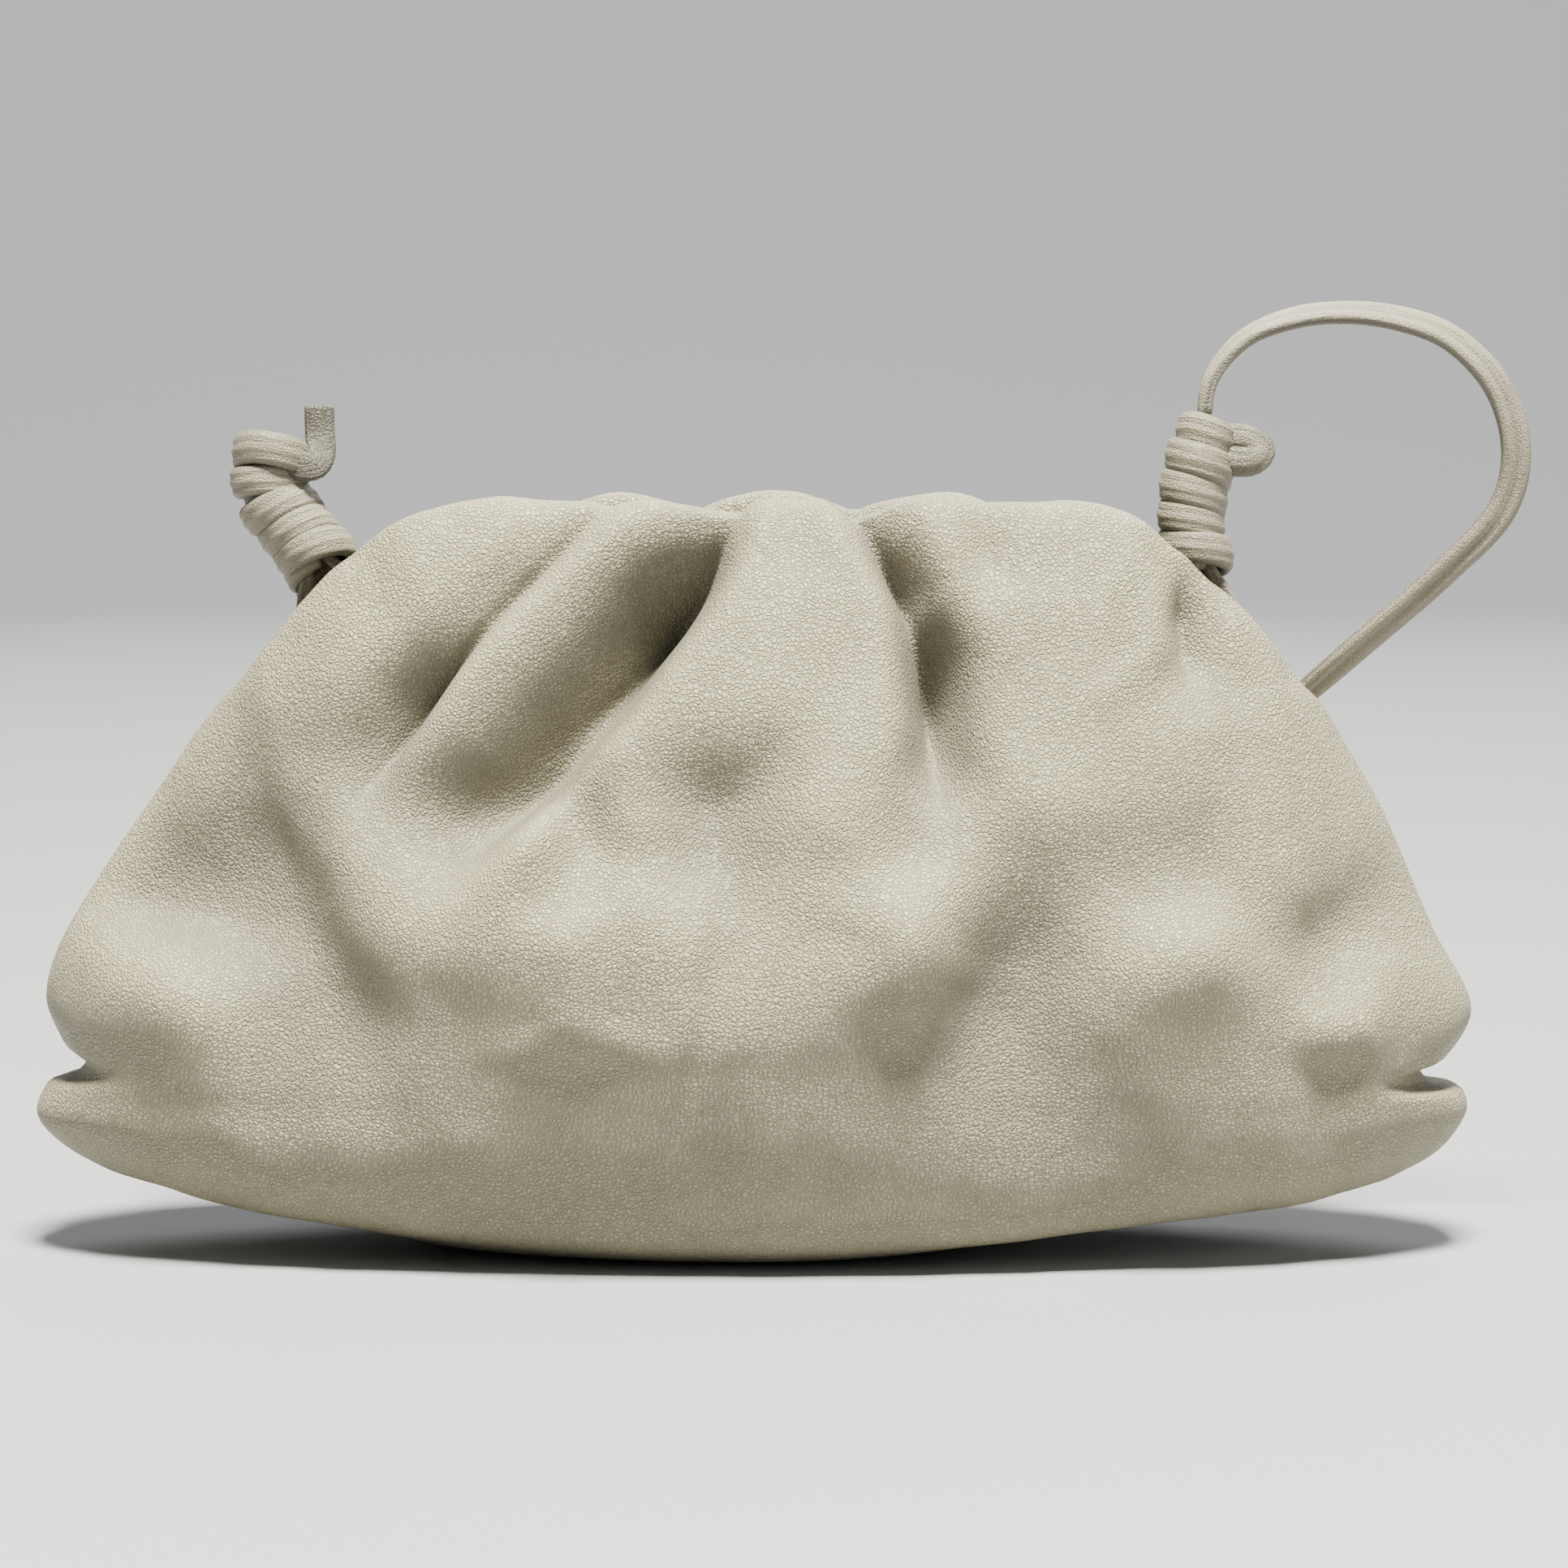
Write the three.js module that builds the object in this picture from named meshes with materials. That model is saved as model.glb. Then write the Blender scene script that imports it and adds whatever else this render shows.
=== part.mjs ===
import * as THREE from 'three';

// A small gathered pouch bag of soft nappa leather, standing on its flattened base.
// A hollow sack is gathered into a narrow mouth, and a flat leather strap is knotted on
// at each end of that mouth.
// Millimetres. X runs to the right as seen from the front, Y to the back and Z up.
// The origin is on the floor under the middle of the sack.

// The sack
const bagWidth = 220;
const bagHeight = 117;
const bagDepth = 76;
const leatherWall = 2;
const halfWidth = bagWidth / 2;
const halfDepth = bagDepth / 2;

// The strap, its knots and the pins that they hang on
const strapWidth = 4.6;
const strapThickness = 2.2;
const leftKnotRadius = 6.1;
const rightKnotRadius = 5.5;
const wrapsPerKnot = 5;
const eyeRadius = 4.4;
const pinRadius = 1.5;
const restGap = 0.3;

// Faces: columns round the sack, sides of a knot and steps of the swept pieces
const frontColumns = 54;
const backColumns = 26;
const knotSides = 12;
const strapSteps = 80;
const tailSteps = 10;
const eyeArcSteps = 12;
const pinSides = 12;

const leather = { color: 0xc9c3b2, roughness: 0.55, metalness: 0 };
const strapLeather = { color: 0xbdb5a6, roughness: 0.5, metalness: 0 };
const pinMetal = { color: 0x8f8b84, roughness: 0.35, metalness: 1 };

function rowsOf(columns, rows) {
  return rows.map((row) => Object.fromEntries(columns.map((name, i) => [name, row[i]])));
}

// Levels of the sack, from the centre of its base up over the lip and down to the rim
// inside the mouth. Reaches are shares of the half width, depth of the half depth, and the
// heights of the ring's middle and its two ends of the height. A ring keeps its middle height
// longer with a larger bow, is blunter at its ends with a smaller taper, is narrowed in its
// middle by the pinch and drawn in at its ends by the nip. Steps are the rows of faces up to
// the next level.
const levelColumns = ['reachLeft', 'reachRight', 'depth', 'middle', 'left', 'right',
  'bow', 'taper', 'pinch', 'nip', 'outerSteps', 'innerSteps'];
const levels = rowsOf(levelColumns, [
  [0, 0, 0, 0, 0, 0, 2, 1, 0, 0, 1, 1],
  [0.40, 0.24, 0.38, 0, 0, 0, 2, 1, 0, 0, 1, 1],
  [0.56, 0.46, 0.56, 0.010, 0.027, 0.031, 2, 1, 0, 0, 1, 1],
  [0.77, 0.77, 0.73, 0.041, 0.068, 0.065, 2, 1, 0, 0, 2, 1],
  [0.92, 0.93, 0.842, 0.107, 0.111, 0.113, 2, 1, 0, 0, 2, 1],
  [1.00, 0.99, 0.905, 0.162, 0.171, 0.171, 2, 1, 0, 0, 1, 1],
  [1.00, 1.00, 0.942, 0.212, 0.218, 0.209, 2, 1, 0, 0.01, 1, 1],
  [1.00, 1.00, 0.967, 0.260, 0.246, 0.235, 2, 1, 0, 0.045, 2, 1],
  [0.99, 1.00, 0.985, 0.325, 0.333, 0.316, 2, 1, 0, 0, 2, 1],
  [0.955, 0.945, 0.965, 0.42, 0.427, 0.427, 2, 0.97, 0, 0, 4, 2],
  [0.855, 0.88, 0.865, 0.55, 0.573, 0.564, 2.4, 0.92, 0, 0, 4, 2],
  [0.76, 0.80, 0.75, 0.68, 0.70, 0.70, 3.2, 0.80, 0, 0, 4, 1],
  [0.718, 0.758, 0.62, 0.80, 0.744, 0.744, 4.2, 0.65, 0, 0, 3, 2],
  [0.691, 0.735, 0.475, 0.91, 0.772, 0.772, 5, 0.50, 0, 0, 2, 1],
  [0.677, 0.722, 0.365, 0.975, 0.786, 0.786, 5, 0.45, 0.06, 0, 2, 1],
  [0.664, 0.709, 0.325, 0.990, 0.795, 0.799, 5, 0.42, 0.30, 0, 2, 1],
  [0.657, 0.704, 0.255, 0.985, 0.785, 0.789, 5, 0.37, 0.46, 0, 1, 1],
  [0.655, 0.700, 0.210, 0.950, 0.765, 0.765, 5, 0.33, 0.50, 0, 0, 0],
]);
const crestLevel = 15;
const rimLevel = levels.length - 1;
const nipFocus = 12;

// Folds, each along a bent line of three points seen from the front or the back. Across is a
// share of the half width and up of the height, going over the lip past 1. Depth is a share of
// the half depth, into the sack, or a raised roll where it is negative. Widths on the two sides
// are shares of the half width and flare out where a fold ends, the beads are rolls beside the
// fold as shares of its depth, and the fades are the shares of its length over which it begins
// and ends.
const foldColumns = ['across0', 'up0', 'across1', 'up1', 'across2', 'up2', 'depth',
  'leftWidth', 'rightWidth', 'leftBead', 'rightBead', 'fadeIn', 'fadeOut'];
const frontFolds = rowsOf(foldColumns, [
  [-0.12, 1.05, -0.36, 0.87, -0.57, 0.60, 0.090, 0.048, 0.048, 0, 0, 0.05, 0.40],
  [-0.36, 0.85, -0.48, 0.73, -0.60, 0.55, 0.160, 0.050, 0.048, 0, 0, 0.50, 0.45],
  [0.01, 1.05, -0.12, 0.78, -0.53, 0.42, 0.280, 0.084, 0.048, 0, 0, 0.20, 0.35],
  [-0.01, 1.02, -0.09, 0.86, -0.30, 0.68, 0.130, 0.050, 0.048, 0, 0, 0.35, 0.45],
  [0.09, 1.04, 0.274, 0.86, 0.25, 0.58, 0.220, 0.048, 0.048, 0, 0, 0.05, 0.60],
  [0.22, 0.86, 0.262, 0.75, 0.245, 0.48, 0.280, 0.050, 0.048, 0, 0, 0.50, 0.45],
  [0.245, 0.62, 0.215, 0.56, 0.16, 0.44, 0.070, 0.060, 0.055, 0, 0, 0.50, 0.50],
  [-0.19, 0.61, -0.05, 0.62, 0.09, 0.56, 0.170, 0.140, 0.080, 0, 0, 0.50, 0.50],
  [0.00, 0.62, 0.04, 0.49, 0.035, 0.30, 0.080, 0.070, 0.080, 0, 0, 0.50, 0.50],
  [-0.255, 0.69, -0.24, 0.59, -0.20, 0.45, 0.170, 0.048, 0.055, 0, 0, 0.45, 0.45],
  [-0.74, 0.74, -0.63, 0.45, -0.50, 0.12, 0.245, 0.115, 0.090, 0, 0, 0.45, 0.50],
  [-0.97, 0.52, -0.81, 0.465, -0.62, 0.49, 0.165, 0.065, 0.110, 0, 0, 0.40, 0.45],
  [0.37, 0.60, 0.37, 0.40, 0.27, 0.12, 0.215, 0.085, 0.105, 0, 0, 0.50, 0.50],
  [0.92, 0.48, 0.79, 0.40, 0.64, 0.35, 0.125, 0.060, 0.062, 0, 0, 0.45, 0.50],
  [0.90, 0.27, 0.80, 0.25, 0.70, 0.22, 0.050, 0.060, 0.060, 0, 0, 0.50, 0.50],
  [0.40, 0.50, 0.56, 0.52, 0.74, 0.55, 0.070, 0.080, 0.100, 0, 0, 0.40, 0.40],
  [0.575, 0.96, 0.60, 0.84, 0.605, 0.70, 0.120, 0.048, 0.048, 0.30, 0, 0.15, 0.50],
  [0.06, 1.05, 0.06, 0.96, 0.05, 0.86, 0.060, 0.048, 0.048, 0, 0, 0.05, 0.60],
  [0.31, 1.05, 0.31, 0.94, 0.33, 0.82, 0.055, 0.048, 0.048, 0, 0, 0.05, 0.60],
  [-0.96, 0.36, -0.77, 0.355, -0.56, 0.26, -0.085, 0.080, 0.065, 0, 0, 0.40, 0.50],
  [0.42, 0.38, 0.60, 0.40, 0.78, 0.46, -0.100, 0.065, 0.065, 0, 0, 0.50, 0.50],
  [0.70, 0.305, 0.79, 0.315, 0.89, 0.31, -0.065, 0.048, 0.048, 0, 0, 0.40, 0.40],
  [-0.22, 0.67, -0.32, 0.55, -0.46, 0.39, -0.110, 0.058, 0.065, 0, 0, 0.50, 0.50],
  [-0.25, 0.50, -0.24, 0.39, -0.235, 0.26, -0.060, 0.050, 0.050, 0, 0, 0.35, 0.35],
  [0.27, 0.54, 0.21, 0.42, 0.14, 0.30, -0.090, 0.055, 0.065, 0, 0, 0.50, 0.50],
  [0.38, 1.02, 0.49, 1.00, 0.59, 0.92, -0.085, 0.060, 0.060, 0, 0, 0.30, 0.40],
  [-0.28, 1.02, -0.43, 1.01, -0.56, 0.92, -0.065, 0.060, 0.060, 0, 0, 0.30, 0.40],
  [-0.80, 0.47, 0.00, 0.54, 0.80, 0.47, -0.050, 0.150, 0.150, 0, 0, 0.30, 0.30],
]);
const backFolds = rowsOf(foldColumns, [
  [-0.24, 1.05, -0.34, 0.88, -0.46, 0.64, 0.140, 0.070, 0.045, 0, 0.10, 0.05, 0.45],
  [-0.07, 1.05, -0.10, 0.82, -0.22, 0.56, 0.170, 0.060, 0.050, 0, 0.05, 0.05, 0.45],
  [0.12, 1.05, 0.18, 0.84, 0.31, 0.58, 0.170, 0.050, 0.065, 0.05, 0, 0.05, 0.45],
  [0.33, 1.05, 0.42, 0.88, 0.53, 0.70, 0.130, 0.045, 0.065, 0.10, 0, 0.05, 0.45],
  [-0.46, 0.62, -0.52, 0.42, -0.40, 0.16, 0.100, 0.080, 0.080, 0.15, 0, 0.35, 0.35],
  [0.50, 0.60, 0.47, 0.40, 0.36, 0.18, 0.095, 0.080, 0.080, 0, 0.15, 0.35, 0.35],
  [0.03, 0.66, 0.06, 0.50, 0.00, 0.30, 0.085, 0.080, 0.070, 0, 0, 0.35, 0.45],
  [-0.88, 0.52, -0.78, 0.43, -0.64, 0.40, 0.090, 0.050, 0.055, 0.20, 0, 0.35, 0.40],
]);
const foldBeadPlace = 1.9;
const foldBeadSpread = 0.9;
const foldLineSteps = 16;
const foldFlare = 1.6;
const lipFoldShare = 0.3;
const lipFoldStart = 0.88;

// How far a fold reaches round the ends of the sack, as a share of the half depth
const foldSideFade = 0.3;

function smoothStep(from, to, value) {
  return THREE.MathUtils.smoothstep(value, from, to);
}

// One column of the level table at any level, along a smooth curve through its rows.
function atLevel(name, level) {
  const row = Math.min(Math.floor(level), levels.length - 2);
  const t = level - row;
  const value = (index) => levels[THREE.MathUtils.clamp(index, 0, levels.length - 1)][name];
  const [a, b, c, d] = [value(row - 1), value(row), value(row + 1), value(row + 2)];
  return b + 0.5 * t * (c - a + t * (2 * a - 5 * b + 4 * c - d + t * (3 * (b - c) + d - a)));
}

// The sack without its folds. The angle runs round the ring: 0 at the right end, a quarter
// turn at the middle of the back, and three quarters at the middle of the front.
function sackPoint(angle, level) {
  const c = Math.cos(angle);
  const s = Math.sin(angle);
  const nipped = 1 - atLevel('nip', level) * Math.abs(c) ** nipFocus;
  const reach = atLevel(c < 0 ? 'reachLeft' : 'reachRight', level) * nipped * halfWidth;
  const pinched = 1 - atLevel('pinch', level) * s ** 4;
  const depth = atLevel('depth', level) * halfDepth * Math.abs(s) ** atLevel('taper', level) * pinched;
  const middle = atLevel('middle', level);
  const end = atLevel(c < 0 ? 'left' : 'right', level);
  const height = (middle + (end - middle) * Math.abs(c) ** atLevel('bow', level)) * bagHeight;
  return new THREE.Vector3(reach * c, Math.sign(s) * depth, Math.max(height, 0));
}

function sackNormal(angle, level) {
  const step = 0.01;
  const below = Math.max(level - step, 0);
  const above = Math.min(level + step, rimLevel);
  const round = sackPoint(angle + step, level).sub(sackPoint(angle - step, level));
  const up = sackPoint(angle, above).sub(sackPoint(angle, below));
  const normal = round.cross(up);
  return normal.lengthSq() > 0 ? normal.normalize() : new THREE.Vector3(0, 0, -1);
}

// Height along the wall, which goes on rising past the lip on its way down to the rim.
function wallHeight(angle, level) {
  const height = sackPoint(angle, level).z;
  return level <= crestLevel ? height : 2 * sackPoint(angle, crestLevel).z - height;
}

function foldProfile(fold, along, aside) {
  const flare = 1 + foldFlare * (1 - smoothStep(0, fold.fadeOut, 1 - along));
  const width = (aside < 0 ? fold.leftWidth : fold.rightWidth) * flare * halfWidth;
  const bead = aside < 0 ? fold.leftBead : fold.rightBead;
  const reach = Math.abs(aside) / width;
  const valley = Math.exp(-(reach ** 2));
  const roll = bead * Math.exp(-(((reach - foldBeadPlace) / foldBeadSpread) ** 2));
  const fade = smoothStep(0, fold.fadeIn, along) * smoothStep(0, fold.fadeOut, 1 - along);
  return fold.depth * halfDepth * fade * (roll - valley);
}

// Nearest point on a fold's line: its share along the line, and the signed distance aside.
function placeOnFold(fold, x, height) {
  const point = (t) => {
    const [a, b, c] = [(1 - t) ** 2, 2 * t * (1 - t), t ** 2];
    return new THREE.Vector2(
      (a * fold.across0 + b * fold.across1 + c * fold.across2) * halfWidth,
      (a * fold.up0 + b * fold.up1 + c * fold.up2) * bagHeight,
    );
  };
  const here = new THREE.Vector2(x, height);
  let nearest = { along: 0, aside: 0, distance: Infinity };
  let start = point(0);
  for (let i = 1; i <= foldLineSteps; i += 1) {
    const end = point(i / foldLineSteps);
    const run = end.clone().sub(start);
    const offset = here.clone().sub(start);
    const share = THREE.MathUtils.clamp(offset.dot(run) / run.lengthSq(), 0, 1);
    const distance = offset.clone().addScaledVector(run, -share).length();
    if (distance < nearest.distance) {
      const side = Math.sign(run.cross(offset)) || 1;
      nearest = { along: (i - 1 + share) / foldLineSteps, aside: side * distance, distance };
    }
    start = end;
  }
  return nearest;
}

// What the folds of one side add to the wall, in millimetres outward.
function foldsAt(angle, level) {
  const s = Math.sin(angle);
  const { x } = sackPoint(angle, level);
  const height = wallHeight(angle, level);
  const side = smoothStep(0, foldSideFade, Math.abs(s));
  const lip = 1 - (1 - lipFoldShare) * smoothStep(lipFoldStart, 1, height / bagHeight);
  const folds = s < 0 ? frontFolds : backFolds;
  const sum = folds.reduce((total, fold) => {
    const { along, aside } = placeOnFold(fold, x, height);
    return total + foldProfile(fold, along, aside);
  }, 0);
  return sum * side * lip;
}

// A point of the wall, at a depth of 0 on its outer face and leatherWall on its inner one.
// Folds push the wall in along its normal, and at the lip they lower it.
function wallPoint(angle, level, inset) {
  const normal = sackNormal(angle, level);
  const push = level <= crestLevel ? normal.clone() : new THREE.Vector3(0, 0, 1);
  const point = sackPoint(angle, level).addScaledVector(push, foldsAt(angle, level));
  point.addScaledVector(normal, -inset);
  point.z = Math.max(point.z, inset);
  return point;
}

// Angles of the columns, closer together at the middle of the front.
function columnAngles() {
  const crowding = 0.1;
  const turn = (share) => Math.PI * share + crowding * Math.sin(2 * Math.PI * share);
  const back = Array.from({ length: backColumns }, (_, i) => Math.PI * (i / backColumns));
  const front = Array.from({ length: frontColumns }, (_, i) => Math.PI + turn(i / frontColumns));
  return [...back, ...front];
}

function levelSteps(name) {
  return levels.flatMap((row, i) => Array.from({ length: row[name] }, (_, k) => i + k / row[name]));
}

// A closed solid through rings of equal counts, with a fan to a point at each end.
function loftedSolid(rings, firstPoint, lastPoint) {
  const count = rings[0].length;
  const points = [firstPoint, ...rings.flat(), lastPoint];
  const last = points.length - 1;
  const at = (ring, i) => 1 + ring * count + (i % count);
  const faces = [];
  for (let i = 0; i < count; i += 1) {
    faces.push(0, at(0, i + 1), at(0, i));
    for (let ring = 0; ring < rings.length - 1; ring += 1) {
      faces.push(at(ring, i), at(ring, i + 1), at(ring + 1, i + 1));
      faces.push(at(ring, i), at(ring + 1, i + 1), at(ring + 1, i));
    }
    faces.push(at(rings.length - 1, i), at(rings.length - 1, i + 1), last);
  }
  const geometry = new THREE.BufferGeometry().setFromPoints(points);
  geometry.setIndex(faces);
  geometry.computeVertexNormals();
  return geometry;
}

function sackGeometry() {
  const angles = columnAngles();
  const ring = (level, inset) => angles.map((angle) => wallPoint(angle, level, inset));
  const outer = levelSteps('outerSteps').slice(1);
  const inner = levelSteps('innerSteps').slice(1);
  const rings = [
    ...outer.map((level) => ring(level, 0)),
    ring(rimLevel, 0),
    ring(rimLevel, leatherWall),
    ...inner.reverse().map((level) => ring(level, leatherWall)),
  ];
  return loftedSolid(rings, new THREE.Vector3(0, 0, 0), new THREE.Vector3(0, 0, leatherWall));
}

// A knot is the strap wound round itself: a barrel of flat wraps, each with two ridges.
const wrapRings = [0.90, 1.00, 0.965, 1.00];
const knotEndRadius = 0.62;

function knotGeometry(axis, radius) {
  const rings = wrapsPerKnot * wrapRings.length;
  const sideways = new THREE.Vector3(0, 1, 0);
  const ringAt = (share, size) => {
    const centre = axis.getPointAt(share);
    const out = sideways.clone().cross(axis.getTangentAt(share)).normalize();
    return Array.from({ length: knotSides }, (_, i) => {
      const angle = (2 * Math.PI * i) / knotSides;
      return centre.clone()
        .addScaledVector(out, size * Math.cos(angle))
        .addScaledVector(sideways, size * Math.sin(angle));
    });
  };
  const wraps = Array.from({ length: rings }, (_, i) => (
    ringAt((i + 0.5) / rings, radius * wrapRings[i % wrapRings.length])
  ));
  const first = ringAt(0, radius * knotEndRadius);
  const last = ringAt(1, radius * knotEndRadius);
  return loftedSolid([first, ...wraps, last], axis.getPointAt(0), axis.getPointAt(1));
}

// A curve through points whose section keeps its flat face towards a direction of its own.
class FlatCurve extends THREE.CatmullRomCurve3 {
  constructor(rows) {
    super(rows.map((row) => new THREE.Vector3(row.x, row.y, row.z)), false, 'centripetal');
    this.faces = new THREE.CatmullRomCurve3(
      rows.map((row) => new THREE.Vector3(row.faceX, row.faceY, row.faceZ)),
    );
  }

  computeFrenetFrames(segments) {
    const frames = { tangents: [], normals: [], binormals: [] };
    for (let i = 0; i <= segments; i += 1) {
      const share = this.getUtoTmapping(i / segments);
      const tangent = this.getTangent(share);
      const across = this.faces.getPoint(share).cross(tangent).normalize();
      frames.tangents.push(tangent);
      frames.normals.push(across);
      frames.binormals.push(tangent.clone().cross(across).normalize());
    }
    return frames;
  }
}

// The strap's section: eight sided, flat on both faces and rounded at its edges.
const strapFlatShare = 0.62;
const strapEdgeShare = 0.4;

function strapSection() {
  const wide = strapWidth / 2;
  const thick = strapThickness / 2;
  const flat = wide * strapFlatShare;
  const edge = thick * strapEdgeShare;
  return new THREE.Shape([
    new THREE.Vector2(wide, -edge), new THREE.Vector2(wide, edge),
    new THREE.Vector2(flat, thick), new THREE.Vector2(-flat, thick),
    new THREE.Vector2(-wide, edge), new THREE.Vector2(-wide, -edge),
    new THREE.Vector2(-flat, -thick), new THREE.Vector2(flat, -thick),
  ]);
}

function strapGeometry(rows, steps) {
  return new THREE.ExtrudeGeometry(strapSection(), { steps, extrudePath: new FlatCurve(rows) });
}

function piece(name, geometry, material) {
  const mesh = new THREE.Mesh(geometry, new THREE.MeshStandardMaterial(material));
  mesh.name = name;
  return mesh;
}

const bag = new THREE.Group();
const pouch = piece('pouch', sackGeometry(), leather);
bag.add(pouch);

// The axes of the two knots, from the bottom, between the lips of the mouth, to the top.
// Across is a share of the half width and up of the height.
const axisColumns = ['across', 'up'];
const leftKnotAxis = rowsOf(axisColumns, [
  [-0.595, 0.880], [-0.609, 0.910], [-0.640, 0.950], [-0.664, 0.980], [-0.673, 1.017], [-0.673, 1.060],
]);
const rightKnotAxis = rowsOf(axisColumns, [
  [0.609, 0.880], [0.607, 0.930], [0.609, 0.980], [0.615, 1.035], [0.623, 1.088],
]);

function axisCurve(rows) {
  return new THREE.CatmullRomCurve3(
    rows.map((row) => new THREE.Vector3(row.across * halfWidth, 0, row.up * bagHeight)),
  );
}

// The room round a pin inside the sack, measured from several points of its outline.
function roomAlong(centre, direction) {
  const rays = Array.from({ length: pinSides }, (_, i) => {
    const angle = (2 * Math.PI * i) / pinSides;
    const start = centre.clone();
    start.x += pinRadius * Math.cos(angle);
    start.z += pinRadius * Math.sin(angle);
    return new THREE.Raycaster(start, direction).intersectObject(pouch)[0].distance;
  });
  return Math.min(...rays);
}

// Below each knot the strap passes round a pin as an eye, an open ring under the knot, and the
// pin crosses the sack from wall to wall.
function addKnot(side, axisRows, radius) {
  const axis = axisCurve(axisRows);
  bag.add(piece(`knot_${side}`, knotGeometry(axis, radius), strapLeather));

  const outerRadius = eyeRadius + strapThickness;
  const down = axis.getTangentAt(0).negate();
  const middleRadius = eyeRadius + strapThickness / 2;
  const centre = axis.getPointAt(0).addScaledVector(down, middleRadius);
  const openAngle = Math.acos((middleRadius - restGap) / outerRadius);
  const upAngle = Math.atan2(-down.z, -down.x);
  const start = upAngle + openAngle;
  const end = upAngle - openAngle + 2 * Math.PI;
  const ring = new THREE.Shape();
  ring.absarc(0, 0, outerRadius, start, end, false);
  ring.absarc(0, 0, eyeRadius, end, start, true);
  const eye = piece(
    `eye_${side}`,
    new THREE.ExtrudeGeometry(ring, { depth: strapWidth, bevelEnabled: false, curveSegments: eyeArcSteps }),
    strapLeather,
  );
  eye.rotation.x = Math.PI / 2;
  eye.position.set(centre.x, strapWidth / 2, centre.z);
  bag.add(eye);

  const pinCentre = new THREE.Vector3(centre.x, 0, centre.z - (eyeRadius - pinRadius - restGap));
  const front = roomAlong(pinCentre, new THREE.Vector3(0, -1, 0)) - restGap;
  const back = roomAlong(pinCentre, new THREE.Vector3(0, 1, 0)) - restGap;
  const pin = piece(
    `pin_${side}`,
    new THREE.CylinderGeometry(pinRadius, pinRadius, front + back, pinSides),
    pinMetal,
  );
  pin.position.set(pinCentre.x, (back - front) / 2, pinCentre.z);
  bag.add(pin);
}

addKnot('left', leftKnotAxis, leftKnotRadius);
addKnot('right', rightKnotAxis, rightKnotRadius);

// The strap's free tails and its route, with the way that its flat face looks at each point.
// The routes are drawn for a bag of 220 by 76 by 117, and stretch with the sack.
const routeColumns = ['x', 'y', 'z', 'faceX', 'faceY', 'faceZ'];

function routeOf(rows) {
  return rowsOf(routeColumns, rows).map((row) => ({
    ...row, x: row.x * (bagWidth / 220), y: row.y * (bagDepth / 76), z: row.z * (bagHeight / 117),
  }));
}

const leftTailRoute = routeOf([
  [-64.6, 0.6, 118.8, 0.3, -1, 0],
  [-65.1, 0.4, 121.5, 0.2, -1, 0],
  [-65.3, 0.2, 125.0, 0, -1, 0],
  [-65.3, 0.0, 129.4, 0, -1, 0],
]);
const rightTailRoute = routeOf([
  [75.1, 1.2, 124.9, 0, 0.3, 1],
  [77.0, -0.4, 125.0, 0.4, 0, 1],
  [78.3, -2.2, 123.0, 1, 0, 0.3],
  [78.2, -3.2, 120.5, 1, 0, -0.6],
  [76.4, -3.4, 119.2, 0.1, 0, -1],
]);

bag.add(piece('tail_left', strapGeometry(leftTailRoute, tailSteps), strapLeather));
bag.add(piece('tail_right', strapGeometry(rightTailRoute, tailSteps), strapLeather));

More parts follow.
